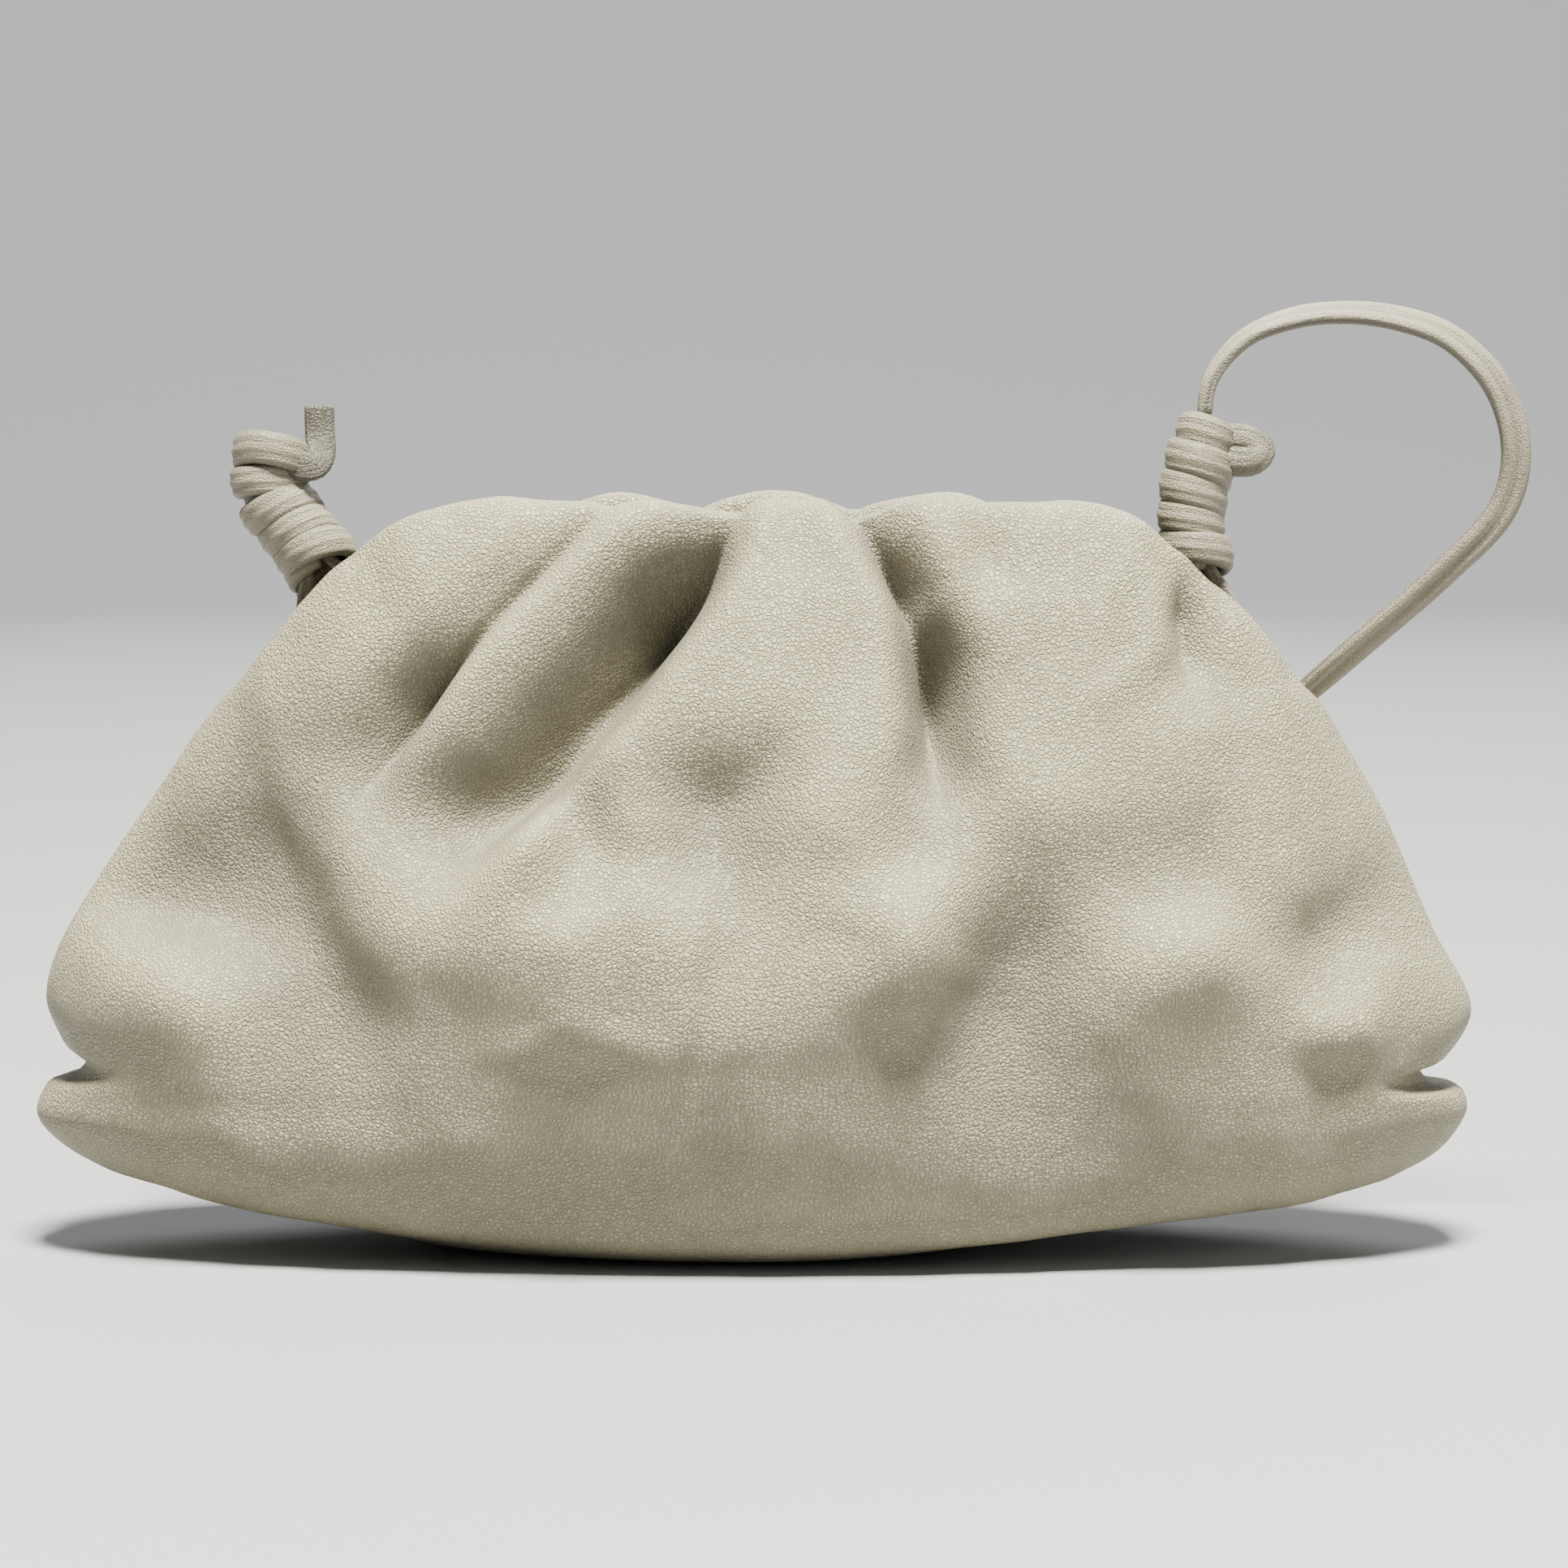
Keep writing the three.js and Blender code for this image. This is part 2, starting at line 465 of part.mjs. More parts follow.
// From the top of the right knot in an arch to the right, down behind the sack, in loose
// passes on the floor there, and up the back again to the top of the left knot.
const strapRoute = routeOf([
  [68.4, 0.0, 127.8, -1, 0, 0.2],
  [69.3, 0.3, 133.0, -1, -0.1, 0.4],
  [74.3, 1.4, 139.2, -0.8, -0.4, 0.9],
  [82.0, 2.6, 142.5, -0.2, -0.6, 1],
  [90.0, 3.8, 143.4, 0, -0.7, 1],
  [98.1, 4.8, 142.6, 0.2, -0.9, 0.9],
  [106.6, 6.0, 139.6, 0.4, -1, 0.6],
  [114.3, 7.6, 132.0, 0.3, -1, 0.2],
  [117.4, 9.0, 122.0, 0.1, -1, 0],
  [115.6, 10.5, 113.2, 0, -1, -0.2],
  [107.0, 12.2, 103.5, 0.2, -1, -0.4],
  [92.4, 14.4, 90.3, 0.3, -1, -0.5],
  [79.5, 20.5, 77.5, 0.5, -0.6, -0.6],
  [68.5, 28.0, 62.5, 0.7, 0.5, -0.2],
  [61.0, 34.0, 43.0, 0.5, 1, 0.1],
  [58.0, 39.5, 23.0, 0.2, 1, 0.3],
  [59.5, 48.0, 7.0, 0, 0.8, 0.7],
  [64.0, 64.0, 2.1, 0, 0, 1],
  [74.0, 96.0, 1.3, 0, 0, 1],
  [74.0, 111.8, 1.3, 0, 0, 1],
  [59.0, 122.4, 1.3, 0, 0, 1],
  [-58.0, 122.0, 1.3, 0, 0, 1],
  [-68.1, 118.8, 1.3, 0, 0, 1],
  [-71.3, 111.3, 1.3, 0, 0, 1],
  [-68.1, 103.8, 1.3, 0, 0, 1],
  [-58.0, 100.5, 1.3, 0, 0, 1],
  [-2.0, 103.5, 1.3, 0, 0, 1],
  [45.0, 101.5, 1.3, 0, 0, 1],
  [54.0, 98.2, 1.3, 0, 0, 1],
  [57.5, 90.2, 1.3, 0, 0, 1],
  [54.0, 82.3, 1.3, 0, 0, 1],
  [45.0, 79.0, 1.3, 0, 0, 1],
  [-48.0, 77.5, 2.1, 0, 0.1, 1],
  [-60.0, 53.0, 6.0, 0, 0.8, 0.6],
  [-58.5, 40.5, 25.0, 0, 1, 0.2],
  [-60.5, 29.9, 60.0, -0.3, 1, 0.1],
  [-67.0, 20.0, 90.0, -0.9, 0.6, 0.3],
  [-71.5, 19.8, 103.0, -1, 0.2, 0.1],
  [-73.3, 19.6, 111.5, -1, 0, 0],
  [-73.9, 16.8, 118.0, -1, 0, 0],
  [-74.0, 11.4, 121.1, -1, 0, 0],
  [-74.0, 6.7, 121.4, -1, 0, 0],
]);
bag.add(piece('strap', strapGeometry(strapRoute, strapSteps), strapLeather));

export default bag;
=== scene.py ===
import math

import bpy
import numpy as np
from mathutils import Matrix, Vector


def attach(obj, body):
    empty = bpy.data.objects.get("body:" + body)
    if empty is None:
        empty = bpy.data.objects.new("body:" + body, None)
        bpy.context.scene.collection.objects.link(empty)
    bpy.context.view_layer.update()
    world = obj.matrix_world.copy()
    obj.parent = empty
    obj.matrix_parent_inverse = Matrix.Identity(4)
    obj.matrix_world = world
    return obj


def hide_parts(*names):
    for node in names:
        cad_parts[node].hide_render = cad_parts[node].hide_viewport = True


# A small gathered pouch bag of soft nappa leather on a pale floor.
# X runs to the right as seen from the front, Y to the back and Z up. The tables are in
# millimetres, or in shares of the bag's own sizes, and mm turns them to metres.
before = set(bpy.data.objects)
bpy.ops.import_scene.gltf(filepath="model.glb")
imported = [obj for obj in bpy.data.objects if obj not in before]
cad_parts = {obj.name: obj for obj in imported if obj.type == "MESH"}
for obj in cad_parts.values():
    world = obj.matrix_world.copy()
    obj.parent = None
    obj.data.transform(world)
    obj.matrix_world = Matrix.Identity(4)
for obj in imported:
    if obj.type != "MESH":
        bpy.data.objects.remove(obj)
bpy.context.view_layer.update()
mm = 0.001
upright = np.array([0.0, 0.0, 1.0])


# Camera
camera = {
    "elevation": 5.0,       # degrees above the horizon
    "distance": 0.700,
    "target": (0.0045, 0.0, 0.0715),
    "lens": 104.9,
}


def addCamera(settings):
    # Stands in front of the bag, on a circle about the target, and looks at it
    rise = math.radians(settings["elevation"])
    target = Vector(settings["target"])
    away = Vector((0.0, -math.cos(rise), math.sin(rise))) * settings["distance"]
    data = bpy.data.cameras.new("front_camera")
    data.lens = settings["lens"]
    item = bpy.data.objects.new("front_camera", data)
    item.location = target + away
    item.rotation_euler = (-away).to_track_quat("-Z", "Y").to_euler()
    bpy.context.scene.collection.objects.link(item)
    bpy.context.scene.camera = item


addCamera(camera)
print("camera placed")


# Materials
def linearColour(code):
    # sRGB hex to linear: below 0.04045 divide by 12.92, else ((v + 0.055) / 1.055) ^ 2.4
    values = [int(code[i:i + 2], 16) / 255 for i in (1, 3, 5)]
    return [v / 12.92 if v <= 0.04045 else ((v + 0.055) / 1.055) ** 2.4 for v in values] + [1.0]


def newMaterial(name):
    # A bare material with its tree, its shader and the object coordinates
    material = bpy.data.materials.new(name)
    material.use_nodes = True
    tree = material.node_tree
    shader = tree.nodes["Principled BSDF"]
    place = tree.nodes.new("ShaderNodeTexCoord").outputs["Object"]
    return material, tree, shader, place


def addNode(tree, kind, inputs, **settings):
    # One node: its settings, and for each input a plain value or another node's socket
    node = tree.nodes.new(kind)
    for name, value in settings.items():
        setattr(node, name, value)
    for name, value in inputs.items():
        if isinstance(value, bpy.types.NodeSocket):
            tree.links.new(value, node.inputs[name])
        else:
            node.inputs[name].default_value = value
    return node


def nappaLeather(name, finish):
    # Full grain nappa, drum dyed and lightly finished: a satin skin of small soft pebbles
    # with finer furrows between and pores, deeper in colour in its furrows, and painted shade in its hollows
    material, tree, shader, place = newMaterial(name)
    drift = addNode(tree, "ShaderNodeTexNoise",
                    {"Vector": place, "Scale": 1 / finish["warpSize"], "Detail": 2.0})
    offset = addNode(tree, "ShaderNodeVectorMath",
                     {0: drift.outputs["Color"], 1: (0.5, 0.5, 0.5)}, operation="SUBTRACT")
    bent = addNode(tree, "ShaderNodeVectorMath",
                   {0: offset.outputs[0], 1: (finish["warp"],) * 3, 2: place},
                   operation="MULTIPLY_ADD")
    pebbles = addNode(tree, "ShaderNodeTexVoronoi",
                      {"Vector": bent.outputs[0], "Scale": 1 / finish["pebble"]},
                      feature="DISTANCE_TO_EDGE")
    pebbleTop = addNode(tree, "ShaderNodeMapRange",
                        {"Value": pebbles.outputs["Distance"], "From Min": 0.0,
                         "From Max": finish["furrow"]}, interpolation_type="SMOOTHSTEP")
    fine = addNode(tree, "ShaderNodeTexVoronoi",
                   {"Vector": bent.outputs[0], "Scale": 1 / finish["pore"]}, feature="F1")
    patches = addNode(tree, "ShaderNodeTexNoise",
                      {"Vector": place, "Scale": 1 / finish["patch"], "Detail": 3.0,
                       "Roughness": 0.55})
    faded = addNode(tree, "ShaderNodeMapRange",
                    {"Value": patches.outputs["Fac"], "From Min": 0.35, "From Max": 0.65})
    tone = addNode(tree, "ShaderNodeMix",
                   {0: faded.outputs["Result"], 6: linearColour(finish["deep"]),
                    7: linearColour(finish["light"])}, data_type="RGBA")
    # Painted shade: a dark colour mixed in by the hollow attribute, in fold valleys, strap grooves and edges, and
    # knot cores
    hollow = addNode(tree, "ShaderNodeAttribute", {}, attribute_name="hollow")
    inPaintedShade = addNode(tree, "ShaderNodeMath",
                       {0: hollow.outputs["Fac"], 1: finish["hollowShare"]},
                       operation="MULTIPLY", use_clamp=True)
    paintedShadeTone = addNode(tree, "ShaderNodeMix",
                   {0: inPaintedShade.outputs[0], 6: tone.outputs[2],
                    7: linearColour(finish["hollow"])}, data_type="RGBA")
    between = addNode(tree, "ShaderNodeMapRange",
                      {"Value": pebbleTop.outputs["Result"], "To Min": finish["furrowShade"],
                       "To Max": 0.0})
    grained = addNode(tree, "ShaderNodeMix",
                      {0: between.outputs["Result"], 6: paintedShadeTone.outputs[2],
                       7: linearColour(finish["furrowColour"])}, data_type="RGBA")
    tree.links.new(grained.outputs[2], shader.inputs["Base Color"])

    gloss = addNode(tree, "ShaderNodeMapRange",
                    {"Value": patches.outputs["Fac"], "From Min": 0.3, "From Max": 0.7,
                     "To Min": finish["smooth"], "To Max": finish["rough"]})
    tree.links.new(gloss.outputs["Result"], shader.inputs["Roughness"])
    height = addNode(tree, "ShaderNodeMath",
                     {0: fine.outputs["Distance"], 1: -finish["poreShare"],
                      2: pebbleTop.outputs["Result"]}, operation="MULTIPLY_ADD")
    relief = height.outputs[0]
    if finish["streak"] > 0:
        # Fine creases along a strap, drawn out along its own length by its UV map
        along = tree.nodes.new("ShaderNodeUVMap")
        along.uv_map = "surface"
        drawn = addNode(tree, "ShaderNodeMapping",
                        {"Vector": along.outputs["UV"],
                         "Scale": (1 / finish["streakLength"], 1 / finish["streakWidth"], 1.0)})
        creases = addNode(tree, "ShaderNodeTexNoise",
                          {"Vector": drawn.outputs["Vector"], "Scale": 1.0, "Detail": 3.0})
        streaked = addNode(tree, "ShaderNodeMath",
                           {0: creases.outputs["Fac"], 1: finish["streak"], 2: relief},
                           operation="MULTIPLY_ADD")
        relief = streaked.outputs[0]
    bump = addNode(tree, "ShaderNodeBump",
                   {"Height": relief, "Strength": finish["bump"],
                    "Distance": finish["relief"]})
    tree.links.new(bump.outputs["Normal"], shader.inputs["Normal"])
    shader.inputs["Specular IOR Level"].default_value = finish["shine"]
    shader.inputs["IOR"].default_value = 1.5
    shader.inputs["Sheen Weight"].default_value = finish["sheen"]
    shader.inputs["Sheen Roughness"].default_value = 0.5
    return material


sackFinish = {
    "light": "#8e8a6d", "deep": "#817d62",
    # colour and share of the painted shade in the fold valleys
    "hollow": "#5b584a", "hollowShare": 0.7,
    "furrowColour": "#64604f", "furrowShade": 0.6,
    "pebble": 0.68 * mm,        # width of one pebble of the grain
    "furrow": 0.26,             # share of a pebble that slopes to its furrow
    "pore": 0.42 * mm, "poreShare": 0.35,
    "warp": 0.9 * mm, "warpSize": 2.6 * mm,
    "patch": 26 * mm,
    "smooth": 0.46, "rough": 0.60,
    "bump": 1.0, "relief": 0.18 * mm,
    "shine": 0.42, "sheen": 0.03,
    "streak": 0.0, "streakLength": 1.0, "streakWidth": 1.0,
}
strapFinish = dict(
    # a darker painted shade, in the strap's grooves and edges, knot cores and tails
    sackFinish, light="#857f6c", deep="#736d5b", hollow="#39372d", hollowShare=0.9,
    pebble=0.45 * mm, pore=0.28 * mm, warp=0.4 * mm, furrowShade=0.35, bump=0.7,
    relief=0.12 * mm, smooth=0.44, rough=0.58,
    streak=3.4, streakLength=5 * mm, streakWidth=0.42 * mm,
)


def fleshSide(name):
    # The napped flesh side of the same hide: dull, warm and fibrous
    material, tree, shader, place = newMaterial(name)
    fibres = addNode(tree, "ShaderNodeTexNoise",
                     {"Vector": place, "Scale": 1 / (0.5 * mm), "Detail": 4.0,
                      "Roughness": 0.7})
    clouds = addNode(tree, "ShaderNodeTexNoise",
                     {"Vector": place, "Scale": 1 / (14 * mm), "Detail": 3.0})
    mixed = addNode(tree, "ShaderNodeMath",
                    {0: fibres.outputs["Fac"], 1: clouds.outputs["Fac"]},
                    operation="MULTIPLY")
    spread = addNode(tree, "ShaderNodeMapRange",
                     {"Value": mixed.outputs[0], "From Min": 0.12, "From Max": 0.4})
    tone = addNode(tree, "ShaderNodeMix",
                   {0: spread.outputs["Result"], 6: linearColour("#94886f"),
                    7: linearColour("#b9ac93")}, data_type="RGBA")
    tree.links.new(tone.outputs[2], shader.inputs["Base Color"])
    bump = addNode(tree, "ShaderNodeBump",
                   {"Height": fibres.outputs["Fac"], "Strength": 0.5,
                    "Distance": 0.2 * mm})
    tree.links.new(bump.outputs["Normal"], shader.inputs["Normal"])
    shader.inputs["Roughness"].default_value = 0.92
    shader.inputs["Sheen Weight"].default_value = 0.25
    shader.inputs["Sheen Roughness"].default_value = 0.6
    shader.inputs["Specular IOR Level"].default_value = 0.2
    return material


def brushedSteel(name):
    # Nickel plated steel rod, brushed round: fine rings with a broad soft highlight
    material, tree, shader, place = newMaterial(name)
    rings = addNode(tree, "ShaderNodeMapping",
                    {"Vector": place, "Scale": (1 / (3 * mm), 1 / (0.12 * mm), 1 / (3 * mm))})
    brushed = addNode(tree, "ShaderNodeTexNoise",
                      {"Vector": rings.outputs["Vector"], "Scale": 1.0, "Detail": 3.0})
    gloss = addNode(tree, "ShaderNodeMapRange",
                    {"Value": brushed.outputs["Fac"], "To Min": 0.22, "To Max": 0.45})
    tree.links.new(gloss.outputs["Result"], shader.inputs["Roughness"])
    bump = addNode(tree, "ShaderNodeBump",
                   {"Height": brushed.outputs["Fac"], "Strength": 0.3,
                    "Distance": 0.02 * mm})
    tree.links.new(bump.outputs["Normal"], shader.inputs["Normal"])
    shader.inputs["Base Color"].default_value = linearColour("#a8a49b")
    shader.inputs["Metallic"].default_value = 1.0
    return material


sackNappa = nappaLeather("nappa_leather_sack", sackFinish)
strapNappa = nappaLeather("nappa_leather_strap", strapFinish)
suedeInside = fleshSide("suede_flesh_side")
pinSteel = brushedSteel("brushed_nickel_steel")
print("materials made")


# Surfaces: every piece is a skin through rings of points, closed round each ring
def unit(vectors):
    # Vectors divided by their lengths
    return vectors / np.maximum(np.linalg.norm(vectors, axis=-1, keepdims=True), 1e-12)


def meshPiece(name, points, quads, tris, uvs, materials, node, attributes=None):
    # Puts whole arrays into one smooth mesh, which rides on the bag and stands for its node
    mesh = bpy.data.meshes.new(name)
    mesh.vertices.add(len(points))
    mesh.vertices.foreach_set("co", points.astype(np.float32).ravel())
    corners = np.concatenate([quads.ravel(), tris.ravel()]).astype(np.int32)
    starts = np.concatenate([np.arange(len(quads)) * 4, quads.size + np.arange(len(tris)) * 3])
    mesh.loops.add(len(corners))
    mesh.loops.foreach_set("vertex_index", corners)
    mesh.polygons.add(len(starts))
    mesh.polygons.foreach_set("loop_start", starts.astype(np.int32))
    mesh.update(calc_edges=True)
    mesh.uv_layers.new(name="surface").data.foreach_set("uv", uvs.astype(np.float32).ravel())
    for title, values in (attributes or {}).items():
        layer = mesh.attributes.new(title, "FLOAT", "POINT")
        layer.data.foreach_set("value", values.astype(np.float32).ravel())
    mesh.polygons.foreach_set("use_smooth", np.ones(len(starts), dtype=bool))
    for material in materials:
        mesh.materials.append(material)
    item = bpy.data.objects.new(name, mesh)
    bpy.context.scene.collection.objects.link(item)
    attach(item, "root")
    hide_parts(node)
    return item


def ringSkin(rings):
    # Quads between each ring and the next, and a fan of triangles to a middle point at both
    # ends. The UV is the mean distance along the rings and round them.
    count, around = rings.shape[:2]
    points = np.concatenate([rings.reshape(-1, 3), rings[[0, -1]].mean(axis=1)])
    row = np.arange(count - 1)[:, None] * around
    here = np.arange(around)[None, :]
    onward = (here + 1) % around
    quads = np.stack([row + here, row + onward, row + around + onward, row + around + here], -1)
    last = (count - 1) * around
    middle = count * around
    firstFan = np.stack([np.full(around, middle), onward[0], here[0]], -1)
    lastFan = np.stack([last + here[0], last + onward[0], np.full(around, middle + 1)], -1)
    stepAlong = np.linalg.norm(np.diff(rings, axis=0), axis=2).mean(axis=1)
    stepRound = np.linalg.norm(np.roll(rings, -1, axis=1) - rings, axis=2).mean(axis=0)
    along = np.concatenate([[0.0], np.cumsum(stepAlong)])
    turn = np.concatenate([[0.0], np.cumsum(stepRound)])
    low, high = np.meshgrid(along[:-1], turn[:-1], indexing="ij"), np.meshgrid(along[1:], turn[1:], indexing="ij")
    quadUv = np.stack([low[0], low[1], low[0], high[1], high[0], high[1], high[0], low[1]], -1)
    fanUv = np.zeros((2 * around, 3, 2))
    fanUv[:around, :, 0] = along[0]
    fanUv[around:, :, 0] = along[-1]
    fanUv[:, :, 1] = np.tile(turn[:-1], 2)[:, None]
    uvs = np.concatenate([quadUv.ravel(), fanUv.ravel()])
    return points, quads.reshape(-1, 4), np.concatenate([firstFan, lastFan]), uvs


def smoothCurve(points, steps):
    # Centripetal Catmull-Rom: each stretch is a cubic through its two points, whose end
    # slopes come from the neighbours, with knots spaced by the square root of the distances
    first = 2 * points[:1] - points[1:2]
    last = 2 * points[-1:] - points[-2:-1]
    full = np.concatenate([first, points, last])
    gap = np.maximum(np.sqrt(np.linalg.norm(np.diff(full, axis=0), axis=1)), 1e-6)[:, None]
    a, b, c, d = full[:-3], full[1:-2], full[2:-1], full[3:]
    before, within, after = gap[:-2], gap[1:-1], gap[2:]
    slopeIn = ((b - a) / before - (c - a) / (before + within) + (c - b) / within) * within
    slopeOut = ((c - b) / within - (d - b) / (within + after) + (d - c) / after) * within
    t = (np.arange(steps) / steps)[None, :, None]
    b, c, slopeIn, slopeOut = (v[:, None, :] for v in (b, c, slopeIn, slopeOut))
    cubic = (2 * b - 2 * c + slopeIn + slopeOut) * t ** 3
    square = (3 * c - 3 * b - 2 * slopeIn - slopeOut) * t ** 2
    inner = (cubic + square + slopeIn * t + b).reshape(-1, points.shape[1])
    return np.concatenate([inner, points[-1:]])


def evenPlaces(path, spacing):
    # Places along a dense path, as fractional indices, at an even spacing
    distance = np.concatenate([[0.0], np.cumsum(np.linalg.norm(np.diff(path, axis=0), axis=1))])
    count = max(int(round(distance[-1] / spacing)), 2)
    wanted = np.linspace(0.0, distance[-1], count + 1)
    return np.interp(wanted, distance, np.arange(len(path)))


def pick(values, places):
    # Values of a dense path at fractional indices, by straight mixing of the two nearest
    index = np.clip(places.astype(int), 0, len(values) - 2)
    share = (places - index)[:, None]
    return values[index] * (1 - share) + values[index + 1] * share


# Leather strap: its section, and sweeping it along a path
strap = {
    "width": 4.6 * mm,
    "thickness": 2.2 * mm,
    "edge": 0.62,           # below 1 the section is squarer than an ellipse
    "groove": 0.42 * mm,    # depth of the dip between the two ridges of each face
    "grooveWidth": 0.55 * mm,
    "around": 32,
    "spacing": 1.1 * mm,
    "cutRound": 0.35 * mm,
}


def strapSection(width, thickness, grooves=(0.0,), depth=strap["groove"], edge=strap["edge"]):
    # A rounded bar, x = w/2 |cos|^edge, y = t/2 |sin|^edge, both with their signs, and with
    # a bell shaped dip on both faces at each groove, a share of the half width
    angle = 2 * np.pi * np.arange(strap["around"]) / strap["around"]
    cosine, sine = np.cos(angle), np.sin(angle)
    x = width / 2 * np.sign(cosine) * np.abs(cosine) ** edge
    y = thickness / 2 * np.sign(sine) * np.abs(sine) ** edge
    for place in grooves:
        bell = np.exp(-((x - place * width / 2) / strap["grooveWidth"]) ** 2)
        y = y - np.sign(y) * depth * bell
    return np.stack([x, y], -1)


def grooveShade(section, count, share, least=0.0):
    # Share of painted shade for each point of a skin, in the grooves and at the edges: the lower the section's
    # face, the more
    low = 1 - np.abs(section[:, 1]) / np.abs(section[:, 1]).max()
    return np.concatenate([np.tile(least + share * low, count), [share, share]])


def sweep(path, faceWay, section, sizes=None):
    # Ring point = path + across x + face y, where across = face way × tangent and the face
    # is squared up to both. Sizes narrow the rings, as at a cut end.
    tangent = unit(np.gradient(path, axis=0))
    across = unit(np.cross(faceWay, tangent))
    face = np.cross(tangent, across)
    scaled = section[None, :, :]
    if sizes is not None:
        scaled = scaled * sizes[:, None, None]
    return path[:, None, :] + across[:, None, :] * scaled[..., :1] + face[:, None, :] * scaled[..., 1:]


def cutEnds(path, faceWay, endShare=0.86):
    # Adds a ring near each end and narrows the outermost ones, so that the cut is rounded
    places = np.arange(len(path), dtype=float)
    step = np.linalg.norm(path[1] - path[0])
    share = min(strap["cutRound"] / step, 0.5)
    places = np.concatenate([[0.0, share], places[1:-1], [len(path) - 1 - share, len(path) - 1]])
    sizes = np.ones(len(places))
    sizes[[0, -1]] = endShare
    return pick(path, places), pick(faceWay, places), sizes


def strapPiece(name, rows, section, node, spacing=None, paintedShadeBase=0.0):
    # A strap through table rows of x, y, z and the way that its face looks
    table = np.array(rows, dtype=float)
    path = smoothCurve(table[:, :3] * mm, 24)
    faceWay = unit(smoothCurve(table[:, 3:], 24))
    places = evenPlaces(path, spacing or strap["spacing"])
    path, faceWay, sizes = cutEnds(pick(path, places), pick(faceWay, places))
    rings = sweep(path, faceWay, section, sizes)
    points, quads, tris, uvs = ringSkin(rings)
    # Painted shade in the grooves and at the edges, and the base share laid over the whole strap
    item = meshPiece(name, points, quads, tris, uvs, [strapNappa], node,
                     {"hollow": grooveShade(section, len(rings), 1.1, paintedShadeBase)})
    return item, path


# The long strap comes first, because it decides how far the bag spreads. From the top of the
# right knot it goes in an arch to the right, down behind the sack, in loose passes on the
# floor there, and up the back again to the top of the left knot.
strapRoute = [
    (68.4, 0.0, 127.8, -1, 0, 0.2),
    (69.3, 0.3, 133.0, -1, -0.1, 0.4),
    (74.3, 1.4, 139.2, -0.8, -0.4, 0.9),
    (82.0, 2.6, 142.5, -0.2, -0.6, 1),
    (90.0, 3.8, 143.4, 0, -0.7, 1),
    (98.1, 4.8, 142.6, 0.2, -0.9, 0.9),
    (106.6, 6.0, 139.6, 0.4, -1, 0.6),
    (114.3, 7.6, 132.0, 0.3, -1, 0.2),
    (117.4, 9.0, 122.0, 0.1, -1, 0),
    (115.6, 10.5, 113.2, 0, -1, -0.2),
    (107.0, 12.2, 103.5, 0.2, -1, -0.4),
    (92.4, 14.4, 90.3, 0.3, -1, -0.5),
    (79.5, 20.5, 77.5, 0.5, -0.6, -0.6),
    (68.5, 28.0, 62.5, 0.7, 0.5, -0.2),
    (61.0, 34.0, 43.0, 0.5, 1, 0.1),
    (58.0, 39.5, 23.0, 0.2, 1, 0.3),
    (59.5, 48.0, 7.0, 0, 0.8, 0.7),
    (64.0, 64.0, 2.1, 0, 0, 1),
    (74.0, 96.0, 1.3, 0, 0, 1),
    (74.0, 111.8, 1.3, 0, 0, 1),
    (59.0, 122.4, 1.3, 0, 0, 1),
    (-58.0, 122.0, 1.3, 0, 0, 1),
    (-68.1, 118.8, 1.3, 0, 0, 1),
    (-71.3, 111.3, 1.3, 0, 0, 1),
    (-68.1, 103.8, 1.3, 0, 0, 1),
    (-58.0, 100.5, 1.3, 0, 0, 1),
    (-2.0, 103.5, 1.3, 0, 0, 1),
    (45.0, 101.5, 1.3, 0, 0, 1),
    (54.0, 98.2, 1.3, 0, 0, 1),
    (57.5, 90.2, 1.3, 0, 0, 1),
    (54.0, 82.3, 1.3, 0, 0, 1),
    (45.0, 79.0, 1.3, 0, 0, 1),
    (-48.0, 77.5, 2.1, 0, 0.1, 1),
    (-60.0, 53.0, 6.0, 0, 0.8, 0.6),
    (-58.5, 40.5, 25.0, 0, 1, 0.2),
    (-60.5, 29.9, 60.0, -0.3, 1, 0.1),
    (-67.0, 20.0, 90.0, -0.9, 0.6, 0.3),
    (-71.5, 19.8, 103.0, -1, 0.2, 0.1),
    (-73.3, 19.6, 111.5, -1, 0, 0),
    (-73.9, 16.8, 118.0, -1, 0, 0),
    (-74.0, 11.4, 121.1, -1, 0, 0),
    (-74.0, 6.7, 121.4, -1, 0, 0),
]
strapBar = strapSection(strap["width"], strap["thickness"])
longStrap, strapPath = strapPiece("long_strap", strapRoute, strapBar, "strap")
print("long strap laid")


# Knots: the strap wound round itself, going down to the right across the front
knotColumns = ["across", "up"]
leftKnot = {
    "axis": [(-0.595, 0.880), (-0.609, 0.910), (-0.640, 0.950), (-0.664, 0.980),
             (-0.673, 1.017), (-0.673, 1.060)],
    "radius": 6.1,
    "lean": 15.0,       # degrees that the front of each wrap stands higher than its back
    "start": 0.56,      # share of a turn at which the winding begins, from the right
    # share of the axis at the middle of each turn, its width over the pitch, its radius over
    # the knot's, and how far it is pushed sideways, in millimetres
    "turns": [(0.10, 1.04, 1.06, 0.2), (0.29, 1.02, 0.98, 0.0), (0.49, 1.06, 1.00, 0.1),
              (0.69, 1.00, 0.97, -0.4), (0.91, 1.10, 1.10, 1.1)],
}
rightKnot = {
    "axis": [(0.609, 0.880), (0.607, 0.930), (0.609, 0.980), (0.615, 1.035), (0.623, 1.088)],
    "radius": 5.5,
    "lean": 9.0,
    "start": 0.55,
    "turns": [(0.10, 1.06, 1.08, 0.9), (0.29, 0.96, 0.98, -0.3), (0.49, 1.08, 1.00, -0.2),
              (0.70, 1.08, 1.06, 0.0), (0.915, 1.06, 0.84, 0.3)],
}
